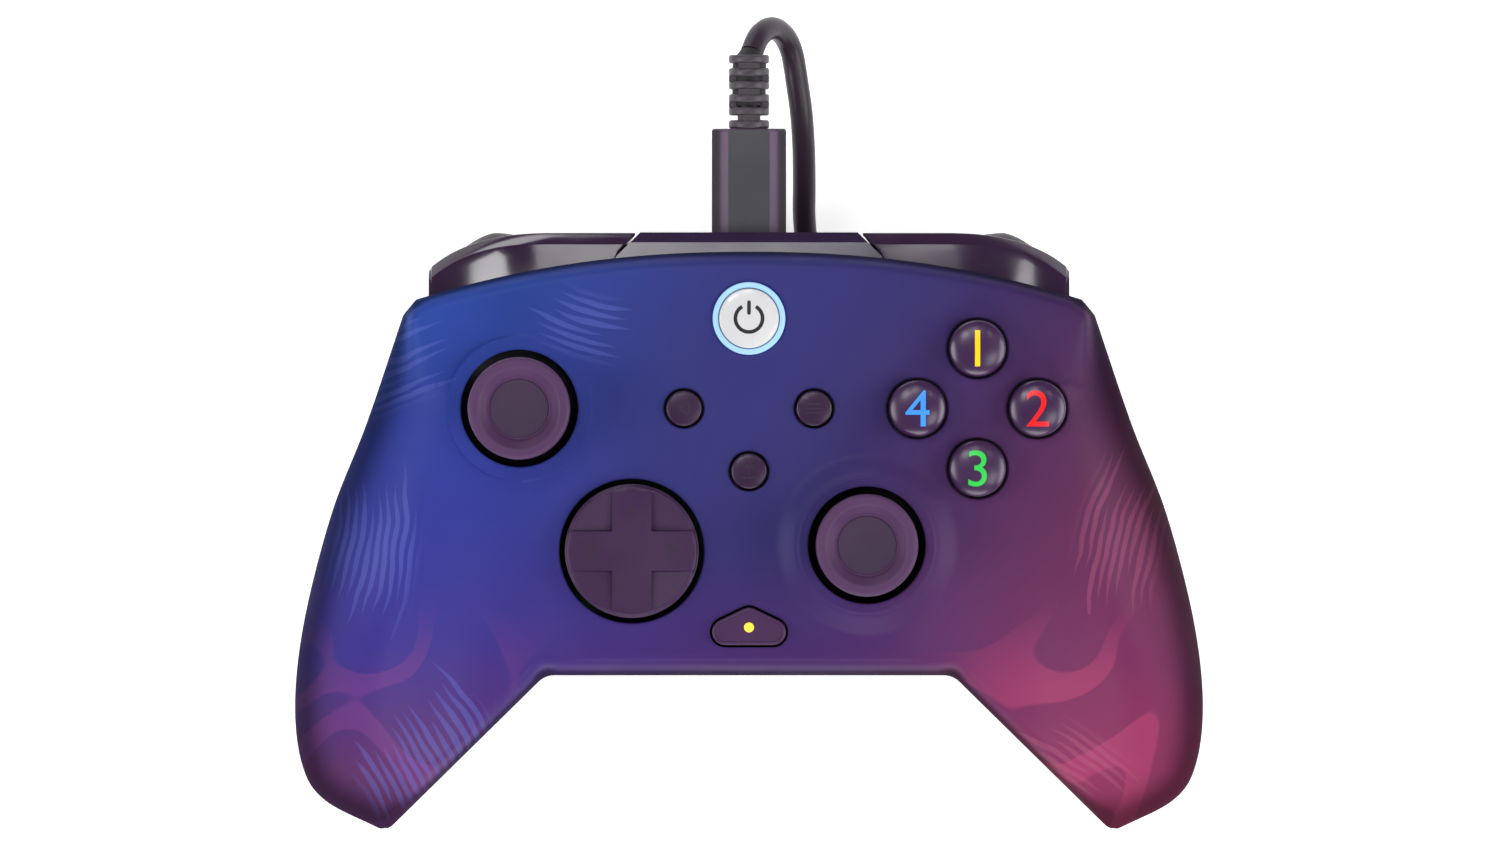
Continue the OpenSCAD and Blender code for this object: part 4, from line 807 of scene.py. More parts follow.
def right_edges(trigger_slot):
    xs = np.linspace(0, SHOULDER_X, 60)
    top = np.column_stack([xs, top_edge(xs)])
    shoulder = np.array([SHOULDER_X, SHOULDER_Y])
    side = smooth_curve(SIDE_KEYS, 12)
    tip = corner_arc(side[-2], np.array([TIP_X, -TIP_REACH]), np.array(INNER_TIP), 0.9, 4)
    corner = np.array([NOTCH_X, -NOTCH_REACH])
    middle = np.array([0, -NOTCH_REACH])
    bend = corner_arc(np.array(INNER_TIP), corner, middle, NOTCH_ROUND)
    half = len(bend) // 2
    slant = np.vstack([tip[-1], INNER_TIP, bend[0]])
    edges = {
        "top": even(top, OUTLINE_STEP),
        "side": even(np.vstack([shoulder, side, tip]), OUTLINE_STEP),
        "slant": np.vstack([even(slant, OUTLINE_STEP), bend[1 : half + 1]]),
        "notch": np.vstack([bend[half:], even(np.vstack([bend[-1], middle]), OUTLINE_STEP)[1:]]),
    }
    if trigger_slot:
        x0, x1, back = trigger_slot
        keep_in = top[top[:, 0] < x0]
        keep_out = top[top[:, 0] > x1]
        way = np.vstack([
            keep_in, (x0, top_edge(x0)), (x0, back), (x1, back), (x1, top_edge(x1)), keep_out, shoulder,
        ])
        edges["top"] = even(way, OUTLINE_STEP)
    return edges


# Edge radius along the outline: small on the top edge and the notch, broad on the sides
EDGE_R = {"top": 2.6, "slant": 3.0, "notch": 3.0}
SIDE_R = 15.0


def side_radius(x, y):
    near_top = ease(SHOULDER_Y - 16, SHOULDER_Y - 1, y)
    return blend(SIDE_R, EDGE_R["top"], near_top)


# Distance from points to a line of points, and the nearest place on it
def nearest(points, line):
    best = np.full(len(points), 1e9)
    place = np.zeros((len(points), 2))
    a, b = line[:-1], line[1:]
    d = b - a
    square = np.maximum((d**2).sum(1), 1e-12)
    for start in range(0, len(points), 2000):
        p = points[start : start + 2000]
        t = np.clip(((p[:, None, :] - a) * d).sum(2) / square, 0, 1)
        q = a + t[..., None] * d
        dist = np.linalg.norm(p[:, None, :] - q, axis=2)
        k = dist.argmin(1)
        rows = np.arange(len(p))
        best[start : start + 2000] = dist[rows, k]
        place[start : start + 2000] = q[rows, k]
    return best, place


# How far the surface has risen from the rim, 0 at the outline and 1 past the edge radius
def edge_rise(points, edges):
    p = points.copy()
    p[:, 0] = np.abs(p[:, 0])
    rise = np.ones(len(p))
    for kind, line in edges.items():
        distance, place = nearest(p, line)
        radius = side_radius(place[:, 0], place[:, 1]) if kind == "side" else EDGE_R[kind]
        u = np.clip(distance / radius, 0, 1)
        rise *= np.sqrt(1 - (1 - u) ** 2)
    return rise


# Triangles that fill an outline with round or free holes, through given inner points
def filled(outline, hole_loops, inner):
    loops = [outline] + hole_loops
    points = np.vstack(loops + [inner])
    joined, start = [], 0
    for loop in loops:
        n = len(loop)
        joined += [(start + k, start + (k + 1) % n) for k in range(n)]
        start += n
    result = delaunay_2d_cdt([Vector(p) for p in points], joined, [], 0, 1e-6)
    flat = np.array([tuple(v) for v in result[0]])
    triangles = np.array(result[2])
    middles = flat[triangles].mean(1)
    keep = inside(middles, outline)
    for loop in hole_loops:
        keep &= ~inside(middles, loop)
    index = {}
    for new, olds in enumerate(result[3]):
        for old in olds:
            index[old] = new
    loop_ids, start = [], 0
    for loop in loops:
        loop_ids.append([index[start + k] for k in range(len(loop))])
        start += len(loop)
    return flat, triangles[keep], loop_ids


def inside(points, loop):
    x, y = points[:, 0], points[:, 1]
    result = np.zeros(len(points), bool)
    for (x0, y0), (x1, y1) in zip(loop, np.roll(loop, -1, axis=0)):
        crosses = (y0 > y) != (y1 > y)
        if y0 != y1:
            result ^= crosses & (x < (x1 - x0) * (y - y0) / (y1 - y0) + x0)
    return result


def arc(middle, r, angles):
    return np.column_stack([middle[0] + r * np.cos(angles), middle[1] + r * np.sin(angles)])


def circle(middle, r, count):
    return arc(middle, r, np.linspace(0, 2 * math.pi, count, endpoint=False))


def both_halves(edges):
    right = np.vstack([edges["top"], edges["side"][1:], edges["slant"][1:], edges["notch"][1:]])
    left = right[1:-1][::-1] * (-1, 1)
    return np.vstack([right, left])


# The way inwards, square to the outline at each of its points
def inward_from(outline):
    ahead = np.roll(outline, -1, axis=0) - np.roll(outline, 1, axis=0)
    inward = np.column_stack([ahead[:, 1], -ahead[:, 0]])
    inward /= np.linalg.norm(inward, axis=1)[:, None]
    return inward


# Rings of points inside the outline, closer together where the edge turns faster
EDGE_RINGS = (0.03, 0.12, 0.28, 0.5, 0.8, 1.2, 1.7, 2.3, 3.0, 4.0, 5.2, 6.6, 8.2, 10, 12, 14)


def edge_points(outline, clear_of):
    inward = inward_from(outline)
    closed = np.vstack([outline, outline[:1]])
    rings = []
    for depth in EDGE_RINGS:
        step = 1 if depth < 4 else 2
        ring = outline[::step] + inward[::step] * depth
        distance, _ = nearest(ring, closed)
        rings.append(ring[(distance > 0.97 * depth) & inside(ring, outline)])
    return away_from(np.vstack(rings), clear_of)


def away_from(points, clear_of):
    keep = np.ones(len(points), bool)
    for middle, r in clear_of:
        keep &= np.hypot(points[:, 0] - middle[0], points[:, 1] - middle[1]) > r
    return points[keep]


# Evenly spread points well inside the outline
def field_points(outline, spacing, clear_of):
    low, high = outline.min(0), outline.max(0)
    rows = np.arange(low[1], high[1], spacing * 0.866)
    points = []
    for k, y in enumerate(rows):
        xs = np.arange(low[0] + (k % 2) * spacing / 2, high[0], spacing)
        points.append(np.column_stack([xs, np.full(len(xs), y)]))
    points = np.vstack(points)
    points = points[inside(points, outline)]
    distance, _ = nearest(points, np.vstack([outline, outline[:1]]))
    return away_from(points[distance > EDGE_RINGS[-1] + 0.6], clear_of)


# Shader group: tapered strokes along arcs round a middle, as a mask
# Sway and fade are in metres, width and softness are shares of the spacing
STROKE_SWAY = 0.0035
STROKE_FADE = 0.004
STROKE_WIDTH = 0.3
STROKE_SOFT = 0.04


def arc_strokes_group():
    numbers = ("Middle X", "Middle Y", "Inner", "Outer", "Spacing", "Angle", "Spread", "Half length")
    group = new_group("Arc strokes", numbers, ("Mask",))
    do = Steps(group)
    given = do.node("NodeGroupInput")
    where = do.node("ShaderNodeTexCoord")["Object"]
    split = do.node("ShaderNodeSeparateXYZ", {"Vector": where})
    x = do.maths("SUBTRACT", split["X"], given["Middle X"])
    y = do.maths("SUBTRACT", split["Y"], given["Middle Y"])
    square = do.maths("ADD", do.maths("MULTIPLY", x, x), do.maths("MULTIPLY", y, y))
    sway = do.maths("MULTIPLY", do.noise(where, 60), STROKE_SWAY)
    away = do.maths("SQRT", square)
    ring = do.maths("DIVIDE", do.maths("ADD", away, sway), given["Spacing"])
    starts = do.step(away, given["Inner"], do.maths("ADD", given["Inner"], STROKE_FADE))
    ends = do.step(away, given["Outer"], do.maths("SUBTRACT", given["Outer"], STROKE_FADE))
    within = do.maths("MULTIPLY", starts, ends)
    number = do.maths("FLOOR", ring)
    chance = do.node("ShaderNodeTexWhiteNoise", {"W": number}, noise_dimensions="1D")["Value"]
    shift = do.maths("MULTIPLY", do.maths("SUBTRACT", chance, 0.5), given["Spread"])
    turn = do.maths("SUBTRACT", do.maths("ARCTAN2", y, x), do.maths("ADD", given["Angle"], shift))
    along = do.maths("DIVIDE", turn, given["Half length"])
    taper = do.maths("SUBTRACT", 1.0, do.maths("MULTIPLY", along, along), clamp=True)
    off = do.maths("ABSOLUTE", do.maths("SUBTRACT", do.maths("FRACT", ring), 0.5))
    width = do.maths("MULTIPLY", taper, STROKE_WIDTH)
    mask = do.step(do.maths("SUBTRACT", width, off), -STROKE_SOFT, STROKE_SOFT)
    shown = do.maths("MULTIPLY", do.maths("MULTIPLY", mask, do.maths("SQRT", taper)), within)
    do.node("NodeGroupOutput", {"Mask": shown})
    return group


# Strokes on the faceplate: middle of the arcs, inner and outer radius, spacing, angle, spread and half length
STROKES = [
    ((-20, -64), 92, 112, 1.6, 116, 6, 6),
    ((-112, 4), 40, 58, 1.5, -8, 10, 13),
    ((-96, -62), 34, 62, 1.6, 30, 10, 10),
    ((112, -14), 42, 60, 1.5, 166, 14, 12),
    ((24, -84), 40, 62, 1.5, 56, 10, 9),
    ((-14, 84), 44, 58, 1.6, -106, 10, 8),
]

# Fades up the left side, the middle and the right side, as places along the height with their colours
FADE_LEFT = [
    (0.06, colour(96, 52, 104)), (0.3, colour(62, 52, 138)),
    (0.55, colour(52, 62, 152)), (0.9, colour(44, 76, 164)),
]
FADE_MIDDLE = [(0.22, colour(70, 40, 98)), (0.5, colour(56, 52, 110)), (0.95, colour(56, 56, 120))]
FADE_RIGHT = [
    (0.06, colour(148, 54, 92)), (0.3, colour(114, 46, 88)),
    (0.55, colour(100, 44, 78)), (0.9, colour(62, 38, 76)),
]


# Faceplate paint: a fade from blue over violet to magenta, with strokes and ribbons in close tones, and
# painted shade over the rounded rim
def faceplate_paint():
    made, tree, shader = new_material("faceplate_fade")
    do = Steps(tree)
    where = do.node("ShaderNodeTexCoord")["Object"]
    split = do.node("ShaderNodeSeparateXYZ", {"Vector": where})
    x, y = split["X"], split["Y"]
    drift = do.maths("MULTIPLY", do.maths("SUBTRACT", do.noise(where, 20), 0.5), 0.03)
    up = do.maths("DIVIDE", do.maths("ADD", do.maths("ADD", y, drift), 0.05), 0.1)
    left, middle, right = (do.ramp(up, fade) for fade in (FADE_LEFT, FADE_MIDDLE, FADE_RIGHT))
    aside = do.maths("ADD", x, drift)
    base = do.mix(do.step(aside, -0.07, 0.012), left, middle)
    base = do.mix(do.step(aside, -0.004, 0.076), base, right)

    swirl = do.noise(where, 24, 1.0, 0.5)
    band = do.maths("PINGPONG", do.maths("MULTIPLY", swirl, 5.0), 0.5)
    ribbon = do.step(band, 0.34, 0.38)
    low = do.maths("MULTIPLY", do.step(y, -0.008, -0.03), do.step(do.maths("ABSOLUTE", x), 0.026, 0.05))
    warm = do.mix(do.step(x, -0.02, 0.03), colour(126, 66, 136), colour(182, 70, 112))
    base = do.mix(do.maths("MULTIPLY", do.maths("MULTIPLY", ribbon, low), 0.42), base, warm)
    light = do.mix(do.step(x, -0.02, 0.03), colour(104, 116, 206), colour(176, 92, 124))
    for (mx, my), inner, outer, spacing, *angles in STROKES:
        values = [v * MM for v in (mx, my, inner, outer, spacing)] + [math.radians(a) for a in angles]
        strokes = do.node("ShaderNodeGroup", dict(enumerate(values)), node_tree=STROKE_GROUP)
        base = do.mix(do.maths("MULTIPLY", strokes["Mask"], 0.3), base, light)

    # Painted shade: the colour darkens over the rounded rim, down to 0.28 of itself at the outline
    rise = do.node("ShaderNodeAttribute", attribute_name="rise")["Fac"]
    shade = do.maths("ADD", do.maths("MULTIPLY", do.step(rise, 0.4, 1.0), 0.72), 0.28)
    base = do.mix(1.0, base, shade, "MULTIPLY")
    grain = add_grain(tree, shader, (0.5, 0.5, 0.5, 1), 0.4, 1800, 0.1)
    base = do.mix(0.25, base, grain, "OVERLAY")
    matt = do.maths("MULTIPLY", do.step(rise, 0.97, 0.5), 0.5)
    rough = do.maths("ADD", shader.inputs["Roughness"].links[0].from_socket, matt, clamp=True)
    tree.links.new(rough, shader.inputs["Roughness"])
    tree.links.new(base, shader.inputs["Base Color"])
    shader.inputs["Specular IOR Level"].default_value = 0.1
    return made


STROKE_GROUP = arc_strokes_group()
FACEPLATE = faceplate_paint()

# Round holes of the faceplate as middle and radius, with the rounding of their edges and their depth
STICK_HOLE_R = 9.9
DPAD_HOLE_R = 12.2
GUIDE_HOLE_R = 6.2
HOLE_EDGE = 0.35
WALL_DEPTH = 3.0
round_holes = [(LEFT_STICK, STICK_HOLE_R), (RIGHT_STICK, STICK_HOLE_R), (DPAD, DPAD_HOLE_R)]
round_holes += [(GUIDE, GUIDE_HOLE_R)]
round_holes += [(at, BUTTON_SHAPE[0] + BUTTON_GAP) for at in FACE_BUTTONS.values()]
round_holes += [(at, SMALL_SHAPE[0] + BUTTON_GAP) for at in SMALL_BUTTONS.values()]

# Round the sticks: a flat ring at the left one, a collar with a fine lip at the right one
LEFT_RING_R = 12.2
LEFT_RING_LEVEL = level_at(LEFT_STICK) + 0.2
COLLAR_LIP_R = 11.5
COLLAR_R = 15.8
COLLAR_RISE = 1.6
LIP_STEP = 0.16
LIP_W = 0.25

# Rounded triangle of the function button, grown or shrunk all round
FUNCTION_ROUND = 2.2
FUNCTION_APEX = (0, 1.65)
FUNCTION_BASE = (4.05, -0.3)


def function_outline(grow):
    r = FUNCTION_ROUND + grow
    apex, base = FUNCTION_APEX, FUNCTION_BASE
    lean = math.degrees(math.atan2(apex[1] - base[1], base[0]))
    corners = [(apex, 90 - lean, 90 + lean), ((-base[0], base[1]), 90 + lean, 270), (base, 270, 450 - lean)]
    arcs = []
    for (x, y), start, end in corners:
        arcs.append(arc(np.add(FUNCTION, (x, y)), r, np.radians(np.linspace(start, end, 10))))
    points = []
    for corner, following in zip(arcs, arcs[1:] + arcs[:1]):
        points.append(corner)
        points.append(np.linspace(corner[-1], following[0], 10)[1:-1])
    return np.vstack(points)


# Height of the faceplate with its rounded edges, the rings round the sticks and the hole edges
def face_height(points, edges):
    x, y = points[:, 0], points[:, 1]
    rim = blend(seam(x, y), SLOT_TOP, slot_share(x, y))
    z = rim + (crown(x, y) - rim) * edge_rise(points, edges)
    r = np.hypot(x - LEFT_STICK[0], y - LEFT_STICK[1])
    z += np.clip(LEFT_RING_LEVEL - z, 0.05, 3) * ease(LEFT_RING_R + LIP_W, LEFT_RING_R, r)
    r = np.hypot(x - RIGHT_STICK[0], y - RIGHT_STICK[1])
    z += (COLLAR_RISE - LIP_STEP) * ease(COLLAR_R, COLLAR_LIP_R, r)
    z += LIP_STEP * ease(COLLAR_LIP_R + LIP_W, COLLAR_LIP_R, r)
    for middle, hole in round_holes:
        r = np.hypot(x - middle[0], y - middle[1]) - hole
        u = np.clip(r / HOLE_EDGE, 0, 1)
        z -= np.where(r < HOLE_EDGE, HOLE_EDGE * (1 - np.sqrt(1 - (1 - u) ** 2)), 0)
    return z


# A curved skin over an outline: triangles, walls down its holes and a lip turned in along the rim
def skin_piece(name, outline, hole_loops, inner, height, wall_depth, lip, material, slot, node, facing):
    flat, triangles, loops = filled(outline, hole_loops, inner)
    z = height(flat)
    verts = [tuple(p) + (h,) for p, h in zip(flat, z)]
    faces = [tuple(t) for t in triangles]
    for ids, depth in zip(loops[1:], wall_depth):
        start = len(verts)
        verts += [(flat[i][0], flat[i][1], z[i] - depth) for i in ids]
        n = len(ids)
        faces += [(ids[k], ids[(k + 1) % n], start + (k + 1) % n, start + k) for k in range(n)]
    rim = loops[0]
    inward = inward_from(outline)
    start = len(verts)
    verts += [tuple(flat[i] + inward[k] * lip) + (z[i],) for k, i in enumerate(rim)]
    n = len(rim)
    faces += [(rim[k], start + k, start + (k + 1) % n, rim[(k + 1) % n]) for k in range(n)]
    return finish_piece(name, verts, faces, material, "casing", slot, [node], sharp=40, facing=facing)


def rings_round(middle, hole, offsets, count):
    return [circle(middle, hole + o, count) for o in offsets]


EDGE_OFFSETS = (0.04, 0.1, 0.2, 0.35, 0.7, 1.3)
FUNCTION_OFFSETS = (0.15, 0.5, 1.1)
FUNCTION_CLEAR = 1.8
RIM_LIP = 1.4


def front_shell():
    edges = right_edges(None)
    outline = both_halves(edges)
    loops, extra, clear = [], [], []
    for middle, hole in round_holes:
        count = max(40, int(hole * 10))
        loops.append(circle(middle, hole, count))
        offsets = EDGE_OFFSETS
        if hole == STICK_HOLE_R:
            offsets = EDGE_OFFSETS[:4] + tuple(np.arange(0.8, COLLAR_R - hole + 0.6, LIP_W))
        extra += rings_round(middle, hole, offsets, count)
        clear.append((middle, hole + max(offsets) + 0.45))
    loops.append(function_outline(BUTTON_GAP))
    extra += [function_outline(BUTTON_GAP + o) for o in FUNCTION_OFFSETS]
    inner = np.vstack([edge_points(outline, clear), field_points(outline, 1.5, clear)])
    inner = np.vstack([inner[~inside(inner, function_outline(FUNCTION_CLEAR))]] + extra)
    piece = skin_piece(
        "front_shell_skin", outline, loops, inner, lambda p: face_height(p, edges),
        [WALL_DEPTH] * len(loops), RIM_LIP, FACEPLATE, "faceplate", "front_shell", 1,
    )
    places = np.array([(v.co.x, v.co.y) for v in piece.data.vertices]) / MM
    rise = piece.data.attributes.new("rise", "FLOAT", "POINT")
    rise.data.foreach_set("value", edge_rise(places, edges))


front_shell()

# Rear shell: the same outline with slots for the triggers, sinking to the table under the grips
TRIGGER_SLOT = (33.2, 52.8, 35.6)
BODY_SCREWS = [(24, 31), (40, -12)]
GRIP_SCREW = (GRIP_X - 13.1, -TIP_REACH + 10.6)
SCREW_HOLE_R = 2.7
SCREW_DEPTH = 3.0
BACK_BUTTON = (29, -6)
BACK_HALF = (4, 8)
BACK_DEPTH = 2.0
JACK_Z = 30.6
JACK_R = 1.78
JACK_HOLE_R = 2.7


def stadium(middle, half, grow, count=14):
    r = half[0] + grow
    straight = half[1] - half[0]
    points = []
    for sign, start in ((1, 0), (-1, math.pi)):
        for a in np.linspace(start, start + math.pi, count):
            points.append((middle[0] + r * math.cos(a), middle[1] + sign * straight + r * math.sin(a)))
    return np.array(points)


def rear_shell():
    edges = right_edges(TRIGGER_SLOT)
    outline = both_halves(edges)
    loops, extra, clear, depths = [], [], [], []
    for side in (-1, 1):
        for x, y in BODY_SCREWS + [GRIP_SCREW]:
            middle = (side * x, y)
            loops.append(circle(middle, SCREW_HOLE_R, 32))
            extra += rings_round(middle, SCREW_HOLE_R, (0.3, 0.8), 32)
            clear.append((middle, SCREW_HOLE_R + 1.2))
            depths.append(-SCREW_DEPTH)
        back = (side * BACK_BUTTON[0], BACK_BUTTON[1])
        loops.append(stadium(back, BACK_HALF, 0.3))
        depths.append(-BACK_DEPTH)
    inner = np.vstack([edge_points(outline, clear), field_points(outline, 2.2, clear)])
    for side in (-1, 1):
        back = (side * BACK_BUTTON[0], BACK_BUTTON[1])
        inner = inner[~inside(inner, stadium(back, BACK_HALF, 1.0))]
        extra.append(stadium(back, BACK_HALF, 0.8))
    inner = np.vstack([inner] + extra)

    def height(p):
        x, y = p[:, 0], p[:, 1]
        rim = blend(seam(x, y) - 0.15, SLOT_BOTTOM, slot_share(x, y))
        return rim - (rim - belly(x, y)) * edge_rise(p, edges)

    piece = skin_piece(
        "rear_shell_skin", outline, loops, inner, height,
        depths, RIM_LIP, CASING_SATIN, "casing", "rear_shell", -1,
    )
    work = bmesh.new()
    work.from_mesh(piece.data)
    hole = []
    for f in work.faces:
        c = f.calc_center_median() / MM
        if c.y < -NOTCH_REACH + 2 and math.hypot(c.x, c.z - JACK_Z) < JACK_HOLE_R:
            hole.append(f)
    bmesh.ops.delete(work, geom=hole, context="FACES")
    work.to_mesh(piece.data)
    work.free()


rear_shell()


# Collar of the audio socket, turned about its own axis and set in the edge between the grips
def audio_collar():
    profile = rounded(
        [(JACK_R, 11), (JACK_R, 0.15), (3.7, 0.15), (3.7, 2.2), (2.9, 2.2)], {1: 0.3, 2: 0.35, 3: 0.2}
    )
    verts, faces = turned(profile, (0, 0), 40)
    turned_round = [(x, -NOTCH_REACH + z, JACK_Z + y) for x, y, z in verts]
    finish_piece("audio_collar", turned_round, faces, CHIP_BLACK, "casing", "jack", ["audio_jack"])


audio_collar()

# Bumper: one rounded section swept along the top edge, cut slantwise beside the bridge
BRIDGE_REACH = 50.7
BRIDGE_X = 18.4
BRIDGE_FLANK = 4.5
BUMPER_GAP = 0.42
BUMPER_END_X = 54.2
BUMPER_BEND_X = 34
BUMPER_BOTTOM = SLOT_BOTTOM + 0.3
BUMPER_TOP = SLOT_TOP - 0.3
BUMPER_SAG = 1.6
BUMPER_SHY = 0.1
BUMPER_FALL = 6.1
BUMPER_POWER = 2.6
BUMPER_TUCK = 1.9
BUMPER_CHAMFER = (1.5, 2)
CREST_BACK = 1.9
CREST_DROP = 1.5
FACE_DROP = 3.1
FACET_RUN_ON = 1.3


# How far along its bent outer part a place on the bumper is
def bend_share(x):
    return max(0, (x - BUMPER_BEND_X) / (BUMPER_END_X - BUMPER_BEND_X))


def bumper_profile(x):
    inner = top_edge(x) - BUMPER_TUCK
    outer = BRIDGE_REACH - BUMPER_SHY - BUMPER_FALL * bend_share(x) ** BUMPER_POWER
    top = BUMPER_TOP - BUMPER_SAG * bend_share(x) ** 2
    crest = np.array((outer - CREST_BACK, top - CREST_DROP))
    rise = CREST_DROP / (crest[0] - inner + FACET_RUN_ON)
    back = np.array((inner, crest[1] + rise * (crest[0] - inner)))
    corners = [
        (inner, BUMPER_BOTTOM), (outer - BUMPER_CHAMFER[0], BUMPER_BOTTOM),
        (outer, BUMPER_BOTTOM + BUMPER_CHAMFER[1]), (outer, top - FACE_DROP),
        crest, blend(crest, back, 0.25), back,
    ]
    return rounded([corners[-1]] + corners + [corners[0]], {2: 0.6, 3: 0.8, 4: 0.35, 5: 0.35}, 4)[1:-1]


END_ROUND = 0.35


def bumper(side):
    steps = 60
    stations = [(0, 0, END_ROUND), (0, END_ROUND, 0)]
    stations += [(i / steps, 0, 0) for i in range(1, steps)]
    stations += [(1, -END_ROUND, 0), (1, 0, END_ROUND)]
    rows = []
    for t, shift, inset in stations:
        profile = drawn_in(bumper_profile(blend(21, BUMPER_END_X, t)), inset)
        row = []
        for y, z in profile:
            start = BRIDGE_X + BUMPER_GAP + min(BRIDGE_FLANK, max(-0.5, BRIDGE_REACH - y))
            row.append((side * (blend(start, BUMPER_END_X, t) + shift), y, z))
        rows.append(row)
    verts, faces = lofted(rows)
    name = "left_bumper" if side < 0 else "right_bumper"
    finish_piece(name + "_skin", verts, faces, PLUM_GLOSS, name, "bumper", [name], sharp=28)


bumper(-1)
bumper(1)

# Trigger: a hooked section swept across, domed as seen from above, on two arms
TRIGGER_TOP = SLOT_BOTTOM - 0.3
TRIGGER_TIP = 6.0
TRIGGER_X = (34, 43, 52)
TRIGGER_PIVOT = (34.5, 23.9)
TRIGGER_HOOK = [(0, 2.2), (0.06, 0.8), (0.3, 0), (0.62, 1.6), (0.86, 2), (0.97, 1), (1, 1.8)]
TRIGGER_INNER = [(1, 7.3), (0.97, 7.9), (0.86, 8.7), (0.62, 9.1), (0.3, 8.8), (0, 8.6)]
ARM_XS = (35, 49)
ARM_T = 2
EYE_R = 1.8

# Seen from above, the trigger's face falls away by this much at these distances in and out of its middle
TRIGGER_FALL = 6.4
TRIGGER_SPREAD = (20.4, 9.5)
TRIGGER_POWER = 1.6


def trigger_reach(x):
    spread = TRIGGER_SPREAD[0] if x < TRIGGER_X[1] else TRIGGER_SPREAD[1]
    return BRIDGE_REACH - TRIGGER_FALL * (abs(x - TRIGGER_X[1]) / spread) ** TRIGGER_POWER


def trigger(side):
    name = "left_trigger" if side < 0 else "right_trigger"
    face = smooth_curve(TRIGGER_HOOK, 5)
    back = smooth_curve(TRIGGER_INNER, 3)
    steps = 40
    rows = []
    for i in range(steps + 1):
        x = blend(TRIGGER_X[0], TRIGGER_X[2], i / steps)
        profile = [(trigger_reach(x) - d, blend(TRIGGER_TOP, TRIGGER_TIP, k)) for k, d in face]
        profile += [(BRIDGE_REACH - d, blend(TRIGGER_TOP, TRIGGER_TIP, k)) for k, d in back]
        if i in (0, steps):
            profile = drawn_in(profile, 0.3)
        rows.append([(side * x, y, z) for y, z in profile])
    verts, faces = lofted(rows)
    y, z = TRIGGER_PIVOT
    angles = np.radians(np.arange(80, 301, 20))
    eye = [(y + EYE_R * math.cos(a), z + EYE_R * math.sin(a)) for a in angles]
    arm = eye + [(y + 4.2, z - 3.2), (43, 18), (43, TRIGGER_TOP)]
    arm += [(y + 3.6, TRIGGER_TOP), (y + EYE_R, z + 1.2)]
    for x in ARM_XS:
        rows = [[(side * (x + dx), ay, az) for ay, az in arm] for dx in (0, ARM_T)]
        more, more_faces = lofted(rows)
        faces += [tuple(len(verts) + i for i in f) for f in more_faces]
        verts += more
    finish_piece(name + "_skin", verts, faces, TRIGGER_SATIN, name, "trigger", [name], sharp=40)


trigger(-1)
trigger(1)

# Thumb stick: a skirt dome under the hole, a stem and a dished cap with a raised ring
PIVOT_Z = 33.3
SKIRT_R = 12.1
CAP_R = 8.65
CAP_TOP = 57.0
CAP_UNDERSIDE = 53.7
CAP_DISC_R = 4.9


def stick(name, at):
    angles = np.radians(np.linspace(66, 16, 14))
    skirt = [(SKIRT_R * math.sin(a), PIVOT_Z + SKIRT_R * math.cos(a)) for a in angles]
    corners = [
        skirt[-1], (3.2, 52.2), (7.4, 53.5), (CAP_R, 54.3), (CAP_R, CAP_TOP), (6.9, CAP_TOP), (5.5, 55.75),
        (5.25, 55.35), (5.05, 55.3), (4.85, 55.55), (2.4, 55.2), (0.02, 55.1),
    ]
    rounding = {1: 0.6, 2: 0.4, 3: 0.7, 4: 1.25, 5: 0.8, 6: 0.35, 7: 0.1, 8: 0.1, 9: 0.12, 10: 2}
    profile = [(10.2, PIVOT_Z + 4.4)] + skirt[:-1] + rounded(corners, rounding, 6)
    verts, faces = turned(profile, at, 96)
    # Skirt, stem and cap underside are black: painted shade in the gap round the cap
    finishes = [STICK_RUBBER, PAINTED_SHADE_BLACK, STICK_DISC]
    solids = [name + "_cap"]
    piece = finish_piece(name + "_cap_skin", verts, faces, finishes, name, "stick_cap", solids, sharp=50)
    for f in piece.data.polygons:
        out = math.hypot(f.center.x / MM - at[0], f.center.y / MM - at[1])
        if f.center.z < CAP_UNDERSIDE * MM:
            f.material_index = 1
        elif out < CAP_DISC_R:
            f.material_index = 2


stick("left_stick", LEFT_STICK)
stick("right_stick", RIGHT_STICK)

# Direction pad: a disc with a level cross and four flat quarters that sink towards its middle
DPAD_R = 11.3
CROSS_HALF = 3.3
DPAD_TOP = level_at(DPAD) + 2
ARM_WALL = 0.22
QUARTER_DEPTH = 1.1
DPAD_DISH = 0.3
DPAD_RIM_W = 0.6
DPAD_RIM_DROP = 0.45
DPAD_UNDERSIDE = 41.0
QUARTER_RUN = 2 * (DPAD_R / math.sqrt(2) - CROSS_HALF)


def arm_share(u):
    return ease(CROSS_HALF + ARM_WALL, CROSS_HALF, u)


def dpad_height(x, y):
    r = np.hypot(x, y)
    out = (np.abs(x) + np.abs(y) - 2 * CROSS_HALF) / QUARTER_RUN
    quarter = DPAD_TOP - QUARTER_DEPTH * (1 - np.clip(out, 0, 1))
    share = np.maximum(arm_share(np.abs(x)), arm_share(np.abs(y)))
    top = DPAD_TOP - DPAD_DISH * ease(10, 2, r)
    rim = DPAD_RIM_DROP * (1 - ease(0, DPAD_RIM_W, DPAD_R - r))
    return blend(quarter, top, share) - rim


